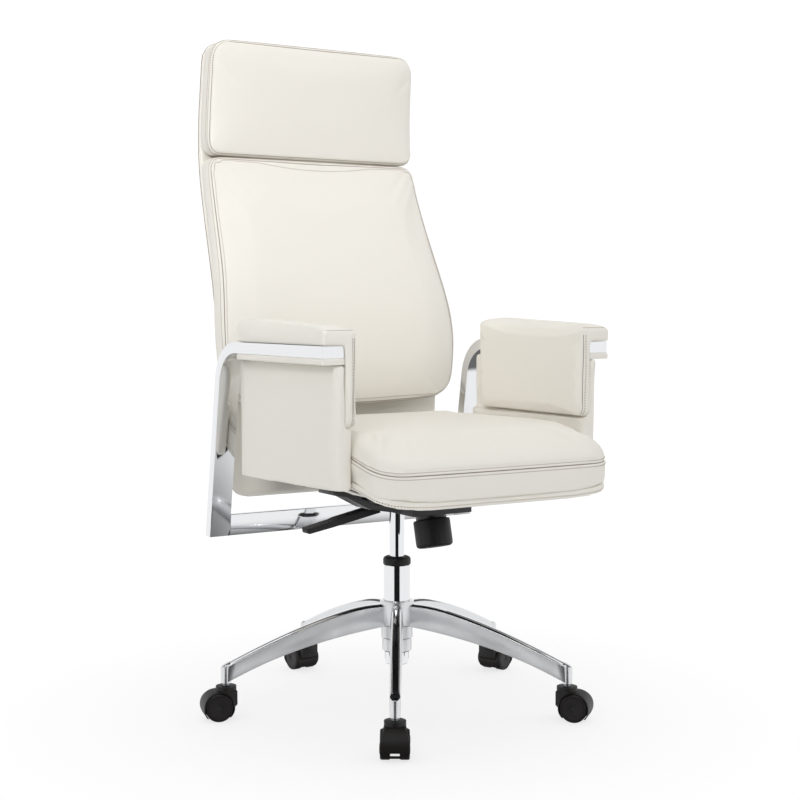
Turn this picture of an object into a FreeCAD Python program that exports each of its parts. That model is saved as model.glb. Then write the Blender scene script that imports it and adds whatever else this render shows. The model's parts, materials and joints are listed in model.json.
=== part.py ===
import FreeCAD, Part
import os
import re
import Sketcher

# Swivel office chair.  Millimetres, +Z up, the chair faces -Y and +X is its left-hand side.
# The origin is on the floor, on the axis of the gas column.

os.makedirs("parts", exist_ok=True)
doc = FreeCAD.newDocument("office_chair")
sheet = doc.addObject("Spreadsheet::Sheet", "sizes")

# ---------------------------------------------------------------- driving dimensions

SIZES = dict(
    # star base
    leg_count=5, first_leg=-122.6, hub_radius=31.5, hub_top=197, hub_step=152, socket_radius=30,
    hub_bottom=102, caster_reach=322, tip_radius=9.5, tip_bottom=64, tip_top=101,
    # gas column
    column_radius=25, column_end_radius=22.2, column_bore=22.5, column_bottom=79, column_top=264,
    bush_top=279, bush_bottom=205, tube_radius=14, tube_bore=12, tube_bottom=180, tube_top=388,
    rod_radius=5, rod_bottom=74, rod_top=235, bearing_radius=14, running_gap=0.06,
    # casters
    wheel_radius=25, wheel_wide=17, wheel_inner=7.5, trail=16, hood_radius=28, hood_wide=51,
    hood_back=17, hood_shoulder=53, hood_top=60, collar_radius=18.5, hood_low=7, web_half=6.5,
    wheel_pocket=26, hood_edge=3, axle_radius=4, stem_radius=5.5, stem_collar=8, stem_deep=26,
    slot_wide=20, slot_high=5, slot_low=12,
    # mechanism
    housing_half=62, housing_front=-152, housing_rear=48, housing_floor=374, housing_roof=396,
    sheet_wall=3, taper_radius=22, taper_bottom=364, taper_top=386, pivot_back=30, pivot_height=386,
    pivot_radius=5, pivot_half=72, knob_lean=14, knob_back=-112, knob_seat=376, knob_radius=33,
    knob_start=16, knob_end=65, cup_radius=27.5, cup_end=30, spring_radius=19, spring_wire=5,
    bolt_radius=5, valve_radius=3, valve_bottom=371, valve_top=393.5,
    lever_back=-50, lever_pivot=-33, lever_height=393, lever_droop=11, lever_out=222, lever_radius=4,
    paddle_start=76, paddle_wide=24, paddle_thick=13, rod_grip=78, finger_gap=0.9,
    # seat
    plate_half=100, plate_front=-130, plate_rear=100, plate_low=406, plate_thick=6, flange_thick=3,
    flange_gap=4, seat_half=238, seat_front=-348, seat_rear=180, pan_low=412, pan_side=445, pan_corner=420,
    pan_flat=150, pan_thick=14, seat_break=-235, seat_top=536, seat_corner=54, seat_rear_corner=35,
    seat_edge=28,
    # chrome arm frame
    bar_wide=40, bar_deep=20, bar_wall=2, frame_inner=253, rail_front=-246, rail_top=677,
    post_mid_back=143, post_mid_height=575, post_lean=9, bar_bottom=313, bar_top=353,
    bend_outer=82, bend_inner=62,
    # arm upholstery
    lip_thick=11, lip_proud=1.5, lip_rear=66, panel_inner=240, panel_thick=28, panel_front=-250,
    panel_rear=116, panel_low=437, panel_edge=6, pad_inner=230.5, drop_thick=21.5, pad_front=-250,
    pad_rear=68, pad_top_front=705, pad_top_rear=717, drop_low=541, pad_edge=7, pad_roll=13,
    # back
    shell_thick=14, cushion_deep=50, cushion_bulge=10, cushion_gap=0.4, shell_corner=38,
    cushion_corner=40, head_split=1029, split_gap=3, cushion_low=549, shell_top=1250, shell_low=378,
    # brackets, straps and bolts
    bracket_front=-222, bracket_wide=52, bracket_thick=7, strap_half=20, strap_spread=120,
    bracket_low=404, strap_thick=5, strap_front=112, strap_back=220, strap_rake=9.6, strap_top=520,
    head_radius=7, head_high=4, bolt_long=13,
)

# Stations up the back: height, front face of the shell, half width.
BACK = [
    (378, 217, 228), (450, 226, 234), (530, 231, 241), (620, 232, 247), (700, 237, 250.5),
    (780, 258, 247), (860, 293, 241), (940, 328, 235), (1010, 352, 231), (1080, 358, 229),
    (1160, 352, 227), (1250, 341, 224),
]

# Stations along a leg: reach, underside, top, half width below, half width above.
LEG = [
    (20, 150, 190, 13, 10), (60, 144, 196, 12, 8.5), (125, 131, 180, 11.5, 8), (190, 115, 159, 11, 7.5),
    (260, 93, 129, 10.2, 7.2), (316, 70, 102.5, 9.6, 7),
]

for row, (alias, value) in enumerate(SIZES.items(), start=1):
    sheet.set("A%d" % row, alias)
    sheet.set("B%d" % row, str(value))
    sheet.setAlias("B%d" % row, alias)
for group, titles, stations in (
    ("back", ("rise", "face", "half"), BACK),
    ("leg", ("reach", "under", "over", "lowhalf", "tophalf"), LEG),
):
    for index, station in enumerate(stations):
        for title, value in zip(titles, station):
            row += 1
            alias = "%s_%s_%s" % (group, title, "abcdefghijkl"[index])
            SIZES[alias] = value
            sheet.set("A%d" % row, alias)
            sheet.set("B%d" % row, str(value))
            sheet.setAlias("B%d" % row, alias)
doc.recompute()

WORDS = {"cos", "sin", "tan", "deg"}
LEANING = " / cos(post_lean * 1deg)"
NODES = []


# ---------------------------------------------------------------- helpers

def expression(text):
    """The sheet expression for a formula that uses bare aliases."""
    def cell(match):
        word = match.group(0)
        return word if word in WORDS else "sizes." + word
    return re.sub(r"[A-Za-z_]\w*", cell, str(text))


def value_of(text):
    """The number that a formula of aliases gives, in millimetres."""
    result = sheet.evalExpression(expression(text))
    return float(getattr(result, "Value", result))


def bind(thing, **formulas):
    """Binds properties to the sheet; Base_x stands for Placement.Base.x and so on."""
    for name, formula in formulas.items():
        path = name
        if name.startswith("Base_"):
            path = "Placement.Base." + name[-1]
        if name == "Angle_":
            path = "Placement.Rotation.Angle"
        thing.setExpression(path, expression(formula))


def finish(thing, label):
    """Names a finished sub-part and lists it for export."""
    thing.Label = label
    NODES.append(thing)
    return thing


def new_body(name):
    return doc.addObject("PartDesign::Body", name)


def plane_of(body, role):
    return [feature for feature in body.Origin.OriginFeatures if feature.Role == role][0]


def outline(body, role, points, offset=None):
    """A closed sketch whose corners are bound to the sheet; a zero offset keeps it on the plane."""
    sketch = body.newObject("Sketcher::SketchObject", body.Name + "_sketch")
    sketch.AttachmentSupport = [(plane_of(body, role), "")]
    sketch.MapMode = "FlatFace"
    if offset is not None:
        sketch.setExpression("AttachmentOffset.Base.z", expression(offset))
    corners = [(value_of(across), value_of(up)) for across, up in points]
    count = len(corners)
    for index, corner in enumerate(corners):
        following = corners[(index + 1) % count]
        sketch.addGeometry(Part.LineSegment(FreeCAD.Vector(*corner, 0), FreeCAD.Vector(*following, 0)))
    for index in range(count):
        sketch.addConstraint(Sketcher.Constraint("Coincident", index, 2, (index + 1) % count, 1))
    for index, (point, corner) in enumerate(zip(points, corners)):
        for kind, formula, number in zip(("DistanceX", "DistanceY"), point, corner):
            place = sketch.addConstraint(Sketcher.Constraint(kind, -1, 1, index, 1, number))
            sketch.setExpression("Constraints[%d]" % place, expression(formula))
    return sketch


def disc(body, role, centre, radius, offset=None):
    """A circle sketch bound to the sheet."""
    sketch = body.newObject("Sketcher::SketchObject", body.Name + "_disc")
    sketch.AttachmentSupport = [(plane_of(body, role), "")]
    sketch.MapMode = "FlatFace"
    if offset is not None:
        sketch.setExpression("AttachmentOffset.Base.z", expression(offset))
    middle = FreeCAD.Vector(value_of(centre[0]), value_of(centre[1]), 0)
    sketch.addGeometry(Part.Circle(middle, FreeCAD.Vector(0, 0, 1), value_of(radius)))
    for kind, formula, number in zip(("DistanceX", "DistanceY"), centre, (middle.x, middle.y)):
        place = sketch.addConstraint(Sketcher.Constraint(kind, -1, 1, 0, 3, number))
        sketch.setExpression("Constraints[%d]" % place, expression(formula))
    place = sketch.addConstraint(Sketcher.Constraint("Radius", 0, value_of(radius)))
    sketch.setExpression("Constraints[%d]" % place, expression(radius))
    return sketch


def extrude(body, kind, sketch, length, midplane=True, through=False):
    """A Pad or a Pocket of a sketch."""
    feature = body.newObject("PartDesign::" + kind, body.Name + "_" + kind.lower())
    feature.Profile = sketch
    feature.Midplane = midplane
    if through:
        feature.Type = "ThroughAll"
    else:
        feature.setExpression("Length", expression(length))
    doc.recompute()
    return feature


def turned(body, kind, sketch, axis="Z_Axis"):
    """A Revolution or a Groove of a sketch about an axis of the body."""
    feature = body.newObject("PartDesign::" + kind, body.Name + "_" + kind.lower())
    feature.Profile = sketch
    feature.ReferenceAxis = (plane_of(body, axis), [""])
    feature.Angle = 360
    doc.recompute()
    return feature


def lofted(body, sketches, ruled=False):
    feature = body.newObject("PartDesign::AdditiveLoft", body.Name + "_loft")
    feature.Profile = sketches[0]
    feature.Sections = sketches[1:]
    feature.Ruled = ruled
    doc.recompute()
    return feature


def edges_where(feature, test, along=None):
    """Names of a feature's edges that pass a test all over, and run along Y if asked."""
    names = []
    for index, edge in enumerate(feature.Shape.Edges, start=1):
        points = [vertex.Point for vertex in edge.Vertexes] + [edge.CenterOfMass]
        runs = along is None or edge.BoundBox.YLength > 0.9 * edge.Length
        if runs and all(test(point) for point in points):
            names.append("Edge%d" % index)
    return names


def rounded(body, feature, test, radius, along=None):
    """A fillet of the edges that pass a test."""
    fillet = body.newObject("PartDesign::Fillet", body.Name + "_fillet")
    fillet.Base = (feature, edges_where(feature, test, along))
    fillet.setExpression("Radius", expression(radius))
    doc.recompute()
    return fillet


def cylinder(name, radius, height, x="0", y="0", z="0", axis=None, angle=90):
    piece = doc.addObject("Part::Cylinder", name)
    if axis:
        piece.Placement = FreeCAD.Placement(FreeCAD.Vector(), FreeCAD.Rotation(FreeCAD.Vector(*axis), angle))
    bind(piece, Radius=radius, Height=height, Base_x=x, Base_y=y, Base_z=z)
    return piece


def box(name, length, width, height, x, y, z):
    piece = doc.addObject("Part::Box", name)
    bind(piece, Length=length, Width=width, Height=height, Base_x=x, Base_y=y, Base_z=z)
    return piece


def fused(name, pieces):
    union = doc.addObject("Part::MultiFuse", name)
    union.Shapes = pieces
    doc.recompute()
    return union


def cut(name, base, tool):
    difference = doc.addObject("Part::Cut", name)
    difference.Base = base
    difference.Tool = tool
    doc.recompute()
    return difference


def round_part(label, profile):
    """A turned sub-part about +Z from a half profile of (radius, height) points."""
    body = new_body(label)
    turned(body, "Revolution", outline(body, "XZ_Plane", profile))
    return finish(body, label)


# ---------------------------------------------------------------- base and gas column

def star_base():
    body = new_body("star_base")
    sections = []
    for letter in "abcdef":
        low, high = "leg_lowhalf_" + letter, "leg_tophalf_" + letter
        under, over = "leg_under_" + letter, "leg_over_" + letter
        points = [("-" + low, under), (low, under), (high, over), ("-" + high, over)]
        sections.append(outline(body, "YZ_Plane", points, "leg_reach_" + letter))
    leg = lofted(body, sections)
    tip = extrude(body, "Pad", disc(body, "XY_Plane", ("caster_reach", "0"), "tip_radius", "tip_bottom"),
                  "tip_top - tip_bottom", midplane=False)
    hole = extrude(body, "Pocket", disc(body, "XY_Plane", ("caster_reach", "0"), "stem_radius",
                                        "tip_bottom + stem_deep"), "40", midplane=False)
    pattern = body.newObject("PartDesign::PolarPattern", "star_base_pattern")
    pattern.Originals = [leg, tip, hole]
    pattern.Axis = (plane_of(body, "Z_Axis"), [""])
    pattern.Angle = 360
    bind(pattern, Occurrences="leg_count")
    body.Tip = pattern
    doc.recompute()
    turned(body, "Revolution", outline(body, "XZ_Plane", [
        ("0", "hub_bottom"), ("socket_radius", "hub_bottom"), ("socket_radius", "hub_step"),
        ("hub_radius", "hub_step"), ("hub_radius", "hub_top"), ("0", "hub_top")]))
    extrude(body, "Pocket", disc(body, "XY_Plane", ("0", "0"), "column_radius"), "0", through=True)
    body.Placement = FreeCAD.Placement(FreeCAD.Vector(), FreeCAD.Rotation(FreeCAD.Vector(0, 0, 1), 1))
    bind(body, Angle_="first_leg")
    return finish(body, "star_base")


def gas_column():
    round_part("outer_column", [
        ("rod_radius + 0.6", "column_bottom"), ("column_end_radius", "column_bottom"),
        ("column_radius", "hub_step"), ("column_radius", "column_top"), ("column_bore", "column_top"),
        ("column_bore", "hub_step"), ("column_end_radius - 2.5", "column_bottom + 5"),
        ("rod_radius + 0.6", "column_bottom + 5")])
    round_part("guide_bush", [
        ("tube_radius + running_gap", "bush_bottom"), ("column_bore", "bush_bottom"),
        ("column_bore", "column_top"), ("column_radius", "column_top"), ("column_radius", "bush_top - 4"),
        ("column_radius - 3", "bush_top"), ("tube_radius + running_gap", "bush_top")])
    round_part("thrust_bearing", [
        ("rod_radius + 0.6", "column_bottom + 5"), ("bearing_radius", "column_bottom + 5"),
        ("bearing_radius", "column_bottom + 14"), ("rod_radius + 0.6", "column_bottom + 14")])
    round_part("piston_rod", [
        ("0", "rod_bottom"), ("rod_radius", "rod_bottom"), ("rod_radius", "column_bottom + 14.2"),
        ("bearing_radius - 3", "column_bottom + 14.2"), ("bearing_radius - 3", "column_bottom + 20"),
        ("rod_radius", "column_bottom + 20"), ("rod_radius", "rod_top - 12"),
        ("tube_bore - running_gap", "rod_top - 12"), ("tube_bore - running_gap", "rod_top"),
        ("0", "rod_top")])
    round_part("retaining_clip", [
        ("rod_radius", "rod_bottom + 1.5"), ("rod_radius * 2", "rod_bottom + 1.5"),
        ("rod_radius * 2", "column_bottom - 0.4"), ("rod_radius", "column_bottom - 0.4")])
    round_part("pressure_tube", [
        ("rod_radius + running_gap", "tube_bottom"), ("tube_radius", "tube_bottom"),
        ("tube_radius", "tube_top"), ("valve_radius + running_gap", "tube_top"),
        ("valve_radius + running_gap", "tube_top - 10"), ("tube_bore", "tube_top - 10"),
        ("tube_bore", "tube_bottom + 12"), ("rod_radius + running_gap", "tube_bottom + 12")])
    round_part("release_pin", [
        ("0", "valve_bottom"), ("valve_radius", "valve_bottom"), ("valve_radius", "valve_top"),
        ("0", "valve_top")])


# ---------------------------------------------------------------- casters

def placed_caster_piece(piece, index, reach):
    """Swings a piece round to a leg's direction and moves it out by a reach."""
    turn = "(first_leg + %d * 360 / leg_count)" % index
    piece.Placement = FreeCAD.Placement(FreeCAD.Vector(), FreeCAD.Rotation(FreeCAD.Vector(0, 0, 1), 1))
    bind(piece, Angle_=turn, Base_x="%s * cos(%s * 1deg)" % (reach, turn),
         Base_y="%s * sin(%s * 1deg)" % (reach, turn))
    return piece


def caster_hood(index):
    """A hood over the treads of two wheels, with a web between them and a collar round the stem."""
    label = "caster_hood_%d" % (index + 1)
    body = new_body(label)
    circle = disc(body, "XZ_Plane", ("trail", "wheel_radius"), "hood_radius")
    arch = extrude(body, "Pad", circle, "hood_wide")
    rounded(body, arch, lambda point: abs(point.y) > 20, "hood_edge")
    neck = [
        ("-hood_back", "wheel_radius + 4"), ("trail - hood_radius + 3", "wheel_radius - 4"),
        ("trail", "wheel_radius - 4"), ("trail", "hood_shoulder"), ("-hood_back", "hood_shoulder")]
    extrude(body, "Pad", outline(body, "XZ_Plane", neck), "2 * collar_radius")
    extrude(body, "Pad", disc(body, "XY_Plane", ("0", "0"), "collar_radius", "hood_shoulder - 8"),
            "hood_top - hood_shoulder + 8", midplane=False)
    well = disc(body, "XZ_Plane", ("trail", "wheel_radius"), "wheel_pocket")
    extrude(body, "Pocket", well, "2 * hood_wide")
    low = [("-2 * hood_radius", "-hood_radius"), ("3 * hood_radius", "-hood_radius"),
           ("3 * hood_radius", "hood_low"), ("-2 * hood_radius", "hood_low")]
    extrude(body, "Pocket", outline(body, "XZ_Plane", low), "2 * hood_wide")
    window = [("-slot_wide / 2", "slot_low"), ("slot_wide / 2", "slot_low"),
              ("slot_wide / 2", "slot_low + slot_high"), ("-slot_wide / 2", "slot_low + slot_high")]
    extrude(body, "Pocket", outline(body, "YZ_Plane", window, "trail + hood_radius"), "2 * trail")
    web = [
        ("3 - hood_back", "wheel_radius + 8"), ("trail - 6", "wheel_radius - 8"),
        ("trail + 6", "wheel_radius - 8"), ("trail + 18", "wheel_radius + 18"),
        ("trail + 7", "wheel_radius + 26"), ("3 - hood_back", "wheel_radius + 26")]
    extrude(body, "Pad", outline(body, "XZ_Plane", web), "2 * web_half")
    extrude(body, "Pocket", disc(body, "XZ_Plane", ("trail", "wheel_radius"), "axle_radius"), "hood_wide")
    bore = disc(body, "XY_Plane", ("0", "0"), "stem_radius + running_gap", "hood_top")
    extrude(body, "Pocket", bore, "16", midplane=False)
    return finish(placed_caster_piece(body, index, "caster_reach"), label)


def caster_wheel(index, letter, sign):
    """A wheel turned about its own +Y with a dished outer face."""
    label = "caster_wheel_%d%s" % (index + 1, letter)
    body = new_body(label)
    near, far = "wheel_inner", "wheel_inner + wheel_wide"
    rim, bore = "wheel_radius", "axle_radius + running_gap"
    profile = [
        (bore, near), (rim + " - 1.5", near), (rim, near + " + 1.5"), (rim, far + " - 2"),
        (rim + " - 1.6", far), (rim + " - 4", far), (rim + " - 4.6", far + " - 1"),
        (rim + " - 5.6", far + " - 1"), (rim + " - 7", far + " - 0.3"), (bore, far + " - 0.3")]
    points = [(across, "%s(%s)" % (sign, up)) for across, up in profile]
    turned(body, "Revolution", outline(body, "XY_Plane", points), "Y_Axis")
    placed_caster_piece(body, index, "(caster_reach + trail)")
    bind(body, Base_z="wheel_radius")
    return finish(body, label)


def caster(index):
    number = index + 1
    caster_hood(index)
    stem = new_body("caster_stem_%d" % number)
    turned(stem, "Revolution", outline(stem, "XZ_Plane", [
        ("0", "hood_top - 14"), ("stem_radius", "hood_top - 14"), ("stem_radius", "hood_top + 0.4"),
        ("stem_collar", "hood_top + 0.4"), ("stem_collar", "tip_bottom"), ("stem_radius", "tip_bottom"),
        ("stem_radius", "tip_bottom + stem_deep"), ("0", "tip_bottom + stem_deep")]))
    finish(placed_caster_piece(stem, index, "caster_reach"), "caster_stem_%d" % number)
    axle = new_body("caster_axle_%d" % number)
    extrude(axle, "Pad", disc(axle, "XZ_Plane", ("trail", "wheel_radius"), "axle_radius"),
            "2 * (wheel_inner + wheel_wide) - 3")
    finish(placed_caster_piece(axle, index, "caster_reach"), "caster_axle_%d" % number)
    caster_wheel(index, "a", "")
    caster_wheel(index, "b", "-")


# ---------------------------------------------------------------- mechanism under the seat

def mechanism_housing():
    """An open pressed tray with a taper socket for the column and a leaning spring cup at its front."""
    depth = "housing_rear - housing_front"
    outer = box("housing_outer", "2 * housing_half", depth, "housing_roof - housing_floor",
                "-housing_half", "housing_front", "housing_floor")
    inner = box("housing_inner", "2 * (housing_half - sheet_wall)", depth + " - 2 * sheet_wall",
                "housing_roof - housing_floor", "sheet_wall - housing_half", "housing_front + sheet_wall",
                "housing_floor + sheet_wall")
    tray = cut("housing_tray", outer, inner)
    socket = cylinder("housing_socket", "taper_radius", "taper_top - taper_bottom", z="taper_bottom")
    cup = cylinder("housing_cup", "cup_radius", "cup_end + sheet_wall", axis=(1, 0, 0), angle=1)
    bind(cup, Angle_="180 - knob_lean", Base_y="knob_back + 3 * sin(knob_lean * 1deg)",
         Base_z="knob_seat + 3 * cos(knob_lean * 1deg)")
    solid = fused("housing_solid", [tray, socket, cup])
    bore = cylinder("housing_bore", "tube_radius", "100", z="taper_bottom - 30")
    well = cylinder("housing_well", "cup_radius - sheet_wall", "cup_end", axis=(1, 0, 0), angle=1)
    bind(well, Angle_="180 - knob_lean", Base_y="knob_back - sin(knob_lean * 1deg)",
         Base_z="knob_seat - cos(knob_lean * 1deg)")
    drill = cylinder("housing_drill", "bolt_radius + running_gap", "40", axis=(1, 0, 0), angle=1)
    bind(drill, Angle_="180 - knob_lean", Base_y="knob_back + 12 * sin(knob_lean * 1deg)",
         Base_z="knob_seat + 12 * cos(knob_lean * 1deg)")
    pivot = cylinder("housing_pivot_bore", "pivot_radius", "4 * pivot_half", "-2 * pivot_half",
                     "pivot_back", "pivot_height", axis=(0, 1, 0))
    slot = box("housing_lever_slot", "housing_half", "2 * lever_radius + 18", "housing_roof - housing_floor",
               "-1.5 * housing_half", "lever_back - lever_radius - 9", "housing_floor + 2")
    tools = fused("housing_tools", [bore, well, drill, pivot, slot])
    finish(cut("housing_cut", solid, tools), "mechanism_housing")


def on_knob_axis(body):
    """Stands a turned body on the leaning axis of the tension bolt; its +Z runs down the bolt."""
    body.Placement = FreeCAD.Placement(FreeCAD.Vector(), FreeCAD.Rotation(FreeCAD.Vector(1, 0, 0), 1))
    bind(body, Angle_="180 - knob_lean", Base_y="knob_back", Base_z="knob_seat")


def tension_set():
    knob = new_body("tension_knob")
    turned(knob, "Revolution", outline(knob, "XZ_Plane", [
        ("bolt_radius", "knob_end - 14"), ("cup_radius + 2", "knob_end - 14"),
        ("cup_radius + 2", "knob_start"), ("knob_radius - 1", "knob_start"),
        ("knob_radius", "knob_start + 1.5"), ("knob_radius", "knob_end - 6"),
        ("knob_radius - 2", "knob_end - 2"), ("knob_radius - 6", "knob_end"), ("bolt_radius", "knob_end")]))
    on_knob_axis(knob)
    finish(knob, "tension_knob")
    bolt = new_body("tension_bolt")
    turned(bolt, "Revolution", outline(bolt, "XZ_Plane", [
        ("0", "-14"), ("2 * bolt_radius - 1", "-14"), ("2 * bolt_radius - 1", "-6"), ("bolt_radius", "-6"),
        ("bolt_radius", "knob_end"), ("0", "knob_end")]))
    on_knob_axis(bolt)
    finish(bolt, "tension_bolt")
    helix = doc.addObject("Part::Helix", "spring_path")
    bind(helix, Radius="spring_radius", Pitch="2 * spring_wire", Height="cup_end + 12")
    wire = doc.addObject("Part::Circle", "spring_wire_section")
    wire.Placement = FreeCAD.Placement(FreeCAD.Vector(), FreeCAD.Rotation(FreeCAD.Vector(1, 0, 0), 90))
    bind(wire, Radius="spring_wire / 2", Base_x="spring_radius")
    sweep = doc.addObject("Part::Sweep", "spring_sweep")
    sweep.Sections = [wire]
    doc.recompute()
    sweep.Spine = (helix, ["Edge%d" % (index + 1) for index in range(len(helix.Shape.Edges))])
    sweep.Solid = True
    sweep.Frenet = True
    sweep.Placement = FreeCAD.Placement(FreeCAD.Vector(), FreeCAD.Rotation(FreeCAD.Vector(1, 0, 0), 1))
    start = "(spring_wire / 2 + 1.4)"
    bind(sweep, Angle_="180 - knob_lean", Base_y="knob_back - %s * sin(knob_lean * 1deg)" % start,
         Base_z="knob_seat - %s * cos(knob_lean * 1deg)" % start)
    finish(sweep, "tension_spring")


def lever_set():
    """The carrier rocks on the housing; the rod and paddle slide in it; all three droop outwards."""
    droop = FreeCAD.Rotation(FreeCAD.Vector(0, 1, 0), 1)
    slope = "tan(lever_droop * 1deg)"
    carrier = box("carrier_sleeve", "26", "2 * lever_radius + 6", "2 * lever_radius + 7.5",
                  "lever_pivot - 13", "lever_back - lever_radius - 3", "housing_floor + sheet_wall + 2.5")
    arm = box("carrier_arm", "14", "-lever_back + 6", "3", "-17", "lever_back", "valve_top + finger_gap + 3")
    finger = box("carrier_finger", "20", "8", "3", "-14", "-4", "valve_top + finger_gap")
    riser = box("carrier_riser", "14", "2 * lever_radius + 2", "valve_top + finger_gap + 6 - lever_height",
                "-17", "lever_back - lever_radius - 1", "lever_height")
    block = fused("carrier_block", [carrier, arm, finger, riser])
    channel = cylinder("carrier_channel", "lever_radius + running_gap", "120", "30", "lever_back",
                       "lever_height + 30 * " + slope, axis=(0, 1, 0), angle=1)
    bind(channel, Angle_="270 - lever_droop")
    finish(cut("carrier_cut", block, channel), "lever_carrier")

    rod = cylinder("rod_shape", "lever_radius", "paddle_start + rod_grip + lever_pivot - 13",
                   "lever_pivot + 12", "lever_back", "lever_height + (lever_pivot + 12) * " + slope,
                   axis=(0, 1, 0), angle=1)
    bind(rod, Angle_="270 - lever_droop")
    finish(rod, "lever_rod")
    paddle = new_body("lever_paddle")
    high, low = "paddle_thick / 2", "-paddle_thick / 2"
    near, far = "paddle_start", "(lever_out + 3)"
    grip = extrude(paddle, "Pad", outline(paddle, "XZ_Plane", [
        ("-" + near, low), ("-" + near, high), ("-%s * 0.72" % far, high + " - 0.5"),
        ("-%s * 0.76" % far, high + " - 2"), ("-" + far, high + " - 3"), ("-" + far, low + " + 1"),
        ("-%s * 0.76" % far, low)]), "paddle_wide")
    rounded(paddle, grip, lambda point: point.x < -value_of(far) + 1, "3.5")
    extrude(paddle, "Pocket", disc(paddle, "YZ_Plane", ("0", "0"), "lever_radius", "-paddle_start"),
            "2 * rod_grip")
    paddle.Placement = FreeCAD.Placement(FreeCAD.Vector(), droop)
    bind(paddle, Angle_="-lever_droop", Base_y="lever_back", Base_z="lever_height")
    finish(paddle, "lever_paddle")


def seat_plate():
    """The pressed plate under the seat with two ears that hang on the tilt pin."""
    plate = box("plate_flat", "2 * plate_half", "plate_rear - plate_front", "plate_thick", "-plate_half",
                "plate_front", "plate_low")
    pieces = [plate]
    for side in (-1, 1):
        start = "housing_half + flange_gap" if side > 0 else "-housing_half - flange_gap - flange_thick"
        pieces.append(box("plate_ear_%s" % "lr"[side > 0], "flange_thick", "36",
                          "plate_low - pivot_height + 10", start, "pivot_back - 18", "pivot_height - 10"))
    shape = fused("plate_solid", pieces)
    bore = cylinder("plate_bore", "pivot_radius + running_gap", "4 * pivot_half", "-2 * pivot_half",
                    "pivot_back", "pivot_height", axis=(0, 1, 0))
    finish(cut("plate_cut", shape, bore), "seat_plate")
    pin = cylinder("pin_shape", "pivot_radius", "2 * pivot_half", "-pivot_half", "pivot_back",
                   "pivot_height", axis=(0, 1, 0))
    finish(pin, "tilt_pin")


# ---------------------------------------------------------------- seat

def seat_section(body, offset, side, middle, roof):
    """One cross section of the seat, from the pan's underside up to a roof height."""
    return outline(body, "XZ_Plane", [
        ("-seat_half", side), ("-pan_flat", middle), ("pan_flat", middle), ("seat_half", side),
        ("seat_half", roof[0]), ("pan_flat", roof[1]), ("-pan_flat", roof[1]), ("-seat_half", roof[0])],
        offset)


def seat_plan():
    """The seat's outline seen from above, as a block with rounded corners and a rounded crown."""
    body = new_body("seat_plan")
    block = extrude(body, "Pad", outline(body, "XY_Plane", [
        ("-seat_half", "seat_front"), ("seat_half", "seat_front"), ("seat_half", "seat_rear"),
        ("-seat_half", "seat_rear")], "pan_low - 20"), "seat_top - pan_low + 20", midplane=False)
    front = SIZES["seat_front"] + 1
    rear = SIZES["seat_rear"] - 1
    top = SIZES["seat_top"] - 1
    block = rounded(body, block, lambda p: p.y < front and abs(p.x) > 100, "seat_corner")
    block = rounded(body, block, lambda p: p.y > rear and abs(p.x) > 100, "seat_rear_corner")
    rounded(body, block, lambda p: p.z > top, "seat_edge")
    return body


def shared(name, first, second):
    common = doc.addObject("Part::MultiCommon", name)
    common.Shapes = [first, second]
    doc.recompute()
    return common


def seat_layers():
    stations = (
        ("-seat_front", "pan_corner", "pan_low + 2"), ("-seat_break", "pan_side - 2", "pan_low"),
        ("-seat_rear", "pan_side", "pan_low"))
    plan = seat_plan()
    board = new_body("board_blank")
    lofted(board, [
        seat_section(board, place, side, middle, (side + " + pan_thick", middle + " + pan_thick"))
        for place, side, middle in stations], ruled=True)
    finish(shared("board_common", board, plan), "seat_board")
    cushion = new_body("cushion_blank")
    lift = " + pan_thick + 0.2"
    lofted(cushion, [
        seat_section(cushion, place, side + lift, middle + lift, ("seat_top", "seat_top"))
        for place, side, middle in stations], ruled=True)
    finish(shared("cushion_common", cushion, plan), "seat_cushion")


# ---------------------------------------------------------------- arms

def sided(body, side):
    """Puts a body that was modelled on the +X side on either side."""
    if side < 0:
        mirror = doc.addObject("Part::Mirroring", body.Name + "_mirror")
        mirror.Source = body
        mirror.Normal = FreeCAD.Vector(1, 0, 0)
        doc.recompute()
        return mirror
    return body


def post_face(height, back="0"):
    """The sheet formula for how far back the leaning post's face is at a height."""
    return ("post_mid_back + (post_mid_height - (%s)) * tan(post_lean * 1deg) + %s" % (height, back))


def frame_outline(inset):
    """The side outline of the bent arm tube, drawn in from its skin by an inset."""
    over, under = "rail_top - %s" % inset, "rail_top - bar_deep + %s" % inset
    base = "bar_bottom + %s" % inset
    skin = inset + LEANING
    rear = "bar_deep" + LEANING + " - " + skin
    return [
        ("rail_front + " + inset, under), ("rail_front + " + inset, over),
        (post_face(over, rear), over), (post_face(base, rear), base),
        (post_face(base, skin), base), (post_face(under, skin), under)]


def arm_frame(side, word):
    shapes = []
    for inset, name in (("0", "skin"), ("bar_wall", "hollow")):
        body = new_body("arm_%s_%s" % (name, word))
        sketch = outline(body, "YZ_Plane", frame_outline(inset), "frame_inner + bar_wide / 2")
        pad = extrude(body, "Pad", sketch, "bar_wide - 2 * %s" % inset)
        outer = value_of(frame_outline(inset)[2][0])
        over = value_of(frame_outline(inset)[2][1])
        inner = value_of(frame_outline(inset)[5][0])
        under = value_of(frame_outline(inset)[5][1])
        bend = rounded(body, pad, lambda p: abs(p.y - outer) < 0.5 and abs(p.z - over) < 0.5,
                       "bend_outer - %s" % inset)
        bend = rounded(body, bend, lambda p: abs(p.y - inner) < 0.5 and abs(p.z - under) < 0.5,
                       "bend_inner + %s" % inset)
        if inset == "0":
            front = SIZES["rail_front"] + 0.5
            rounded(body, bend, lambda p: p.y < front, "1.5")
        shapes.append(body)
    tube = cut("arm_tube_" + word, *shapes)
    finish(sided(tube, side), "arm_frame_" + word)


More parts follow.
